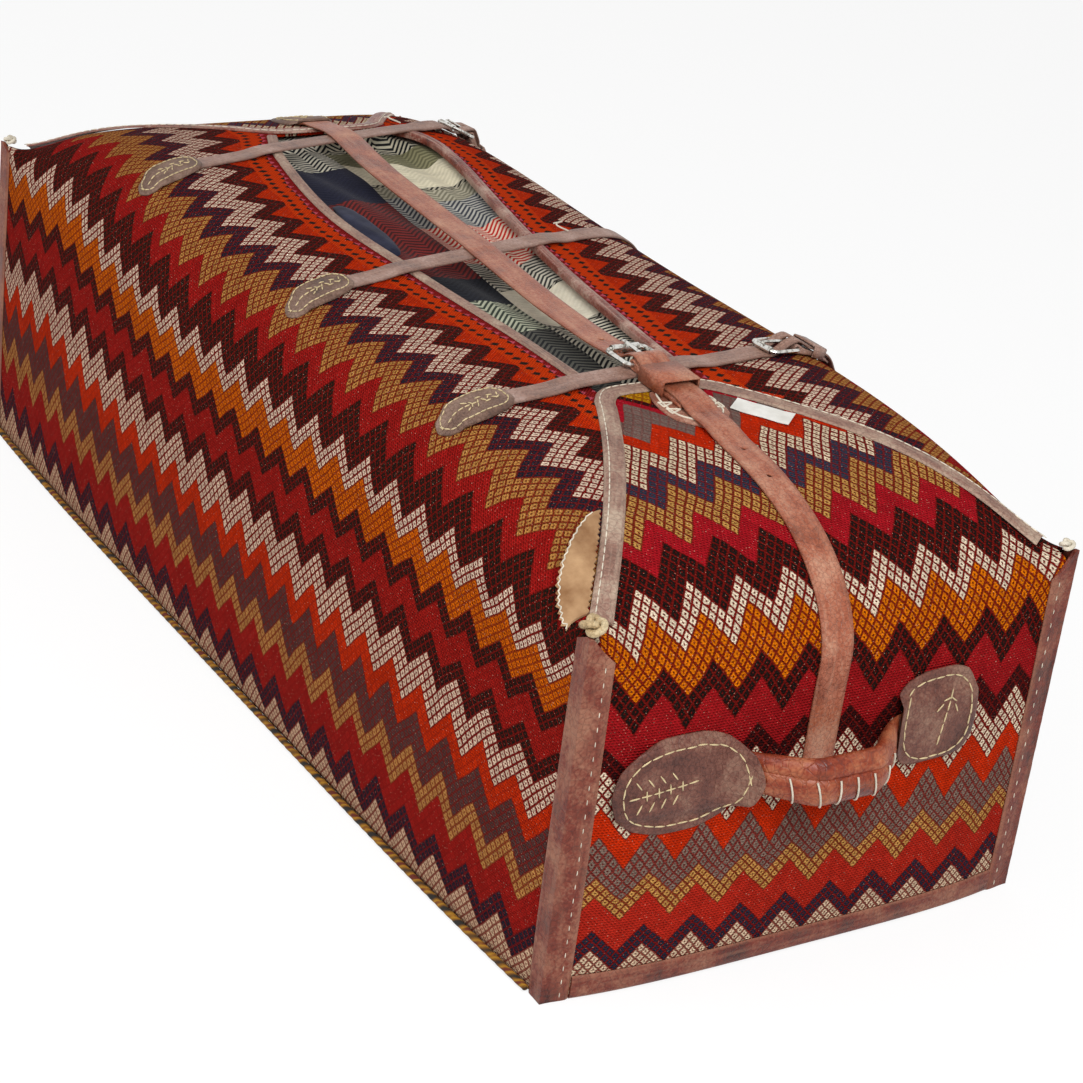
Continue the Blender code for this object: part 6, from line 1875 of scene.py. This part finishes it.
spaced, whole = thread_tree("stitches", True), thread_tree("thread", False)
for x, y, reach in ((-0.078, 0.128, 0.022), (-0.430, 0.128, 0.030)):
    white.append([top_point(x + reach * k / 20, y + 0.006 * math.sin(k * 0.35),
                            0.0045 + 0.005 * math.sin(math.pi * k / 20)) for k in range(21)])
sew_bindings(looks, spaced)
sew("handle_stitches", spaced, gold, looks["gold_thread"], HANDLE_STITCHES)
sew("patch_stitches", spaced, cross_gold, looks["gold_thread"], PATCH_STITCHES)
sew("white_lacing", whole, white, looks["white_thread"], LACING)
sew("leaf_edge_thread", whole, leaf_edge, looks["white_thread"], LEAF_THREAD)

for node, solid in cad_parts.items():
    if "buckle" in node:
        solid.data.materials.clear()
        solid.data.materials.append(looks["nickel"])


# ---- floor, light and camera ----

def stage_plane():
    """A white studio floor: it reads as white to the camera and in gloss, and keeps the shadow."""
    finish, tree, shader = material("matt_white_paint", Roughness=0.9)
    shader.inputs["Base Color"].default_value = linear("#E6E6E6")
    rays = add(tree, "ShaderNodeLightPath")
    seen = add(tree, "ShaderNodeMath", {0: rays.outputs["Is Camera Ray"],
                                        1: rays.outputs["Is Glossy Ray"]}, operation="MAXIMUM")
    seen = add(tree, "ShaderNodeMath", {0: seen, 1: 0.72}, operation="MULTIPLY")
    white = add(tree, "ShaderNodeEmission", {0: linear("#FFFFFF"), 1: 1.12})
    both = add(tree, "ShaderNodeMixShader", {0: seen, 1: shader, 2: white})
    tree.links.new(both.outputs[0], tree.nodes["Material Output"].inputs[0])
    mesh = bpy.data.meshes.new("studio_floor")
    mesh.from_pydata([(-9, -9, -0.0006), (9, -9, -0.0006), (9, 9, -0.0006), (-9, 9, -0.0006)], [],
                     [(0, 1, 2, 3)])
    mesh.materials.append(finish)
    placed("studio_floor", mesh)


def softbox(name, place, target, size, power):
    light = bpy.data.lights.new(name, "AREA")
    light.shape = "RECTANGLE"
    light.size, light.size_y = size
    light.energy = power
    obj = placed(name, light)
    obj.location = place
    obj.rotation_euler = (Vector(target) - Vector(place)).to_track_quat("-Z", "Y").to_euler()


def studio():
    """Floor, air, two soft lamps and the camera at the photograph's viewing place."""
    stage_plane()
    world = bpy.data.worlds.new("studio_air")
    bpy.context.scene.world = world
    world.use_nodes = True
    tree = world.node_tree
    tree.nodes.clear()
    rays = add(tree, "ShaderNodeLightPath")
    seen = add(tree, "ShaderNodeMath", {0: rays.outputs["Is Camera Ray"],
                                        1: rays.outputs["Is Glossy Ray"]}, operation="MAXIMUM")
    strength = add(tree, "ShaderNodeMapRange", {"Value": seen, "To Min": 0.42, "To Max": 1.0})
    air = add(tree, "ShaderNodeBackground", {0: linear("#FFFFFF"), 1: strength})
    add(tree, "ShaderNodeOutputWorld", {0: air})
    softbox("key_light", (2.6, -0.9, 2.6), (0.1, 0.0, 0.2), (1.6, 1.6), 82)
    softbox("fill_light", (-0.6, -2.6, 2.2), (-0.2, 0.0, 0.2), (2.0, 2.0), 26)
    lens = bpy.data.cameras.new("camera")
    lens.sensor_width = SENSOR
    lens.lens = FOCAL_PIXELS / FRAME_PIXELS * SENSOR
    lens.clip_end = 50
    camera = placed("camera", lens)
    back = Vector((math.sin(CAMERA_TURN) * math.cos(CAMERA_DROP),
                   -math.cos(CAMERA_TURN) * math.cos(CAMERA_DROP), math.sin(CAMERA_DROP)))
    right = (-back).cross(Vector((0, 0, 1))).normalized()
    up = right.cross(-back)
    right, up = (math.cos(CAMERA_ROLL) * right + math.sin(CAMERA_ROLL) * up,
                 math.cos(CAMERA_ROLL) * up - math.sin(CAMERA_ROLL) * right)
    turned = Matrix((right, up, back)).transposed().to_4x4()
    camera.matrix_world = Matrix.Translation(CAMERA_PLACE) @ turned
    bpy.context.scene.camera = camera
    bpy.context.scene.view_settings.view_transform = "Standard"


studio()
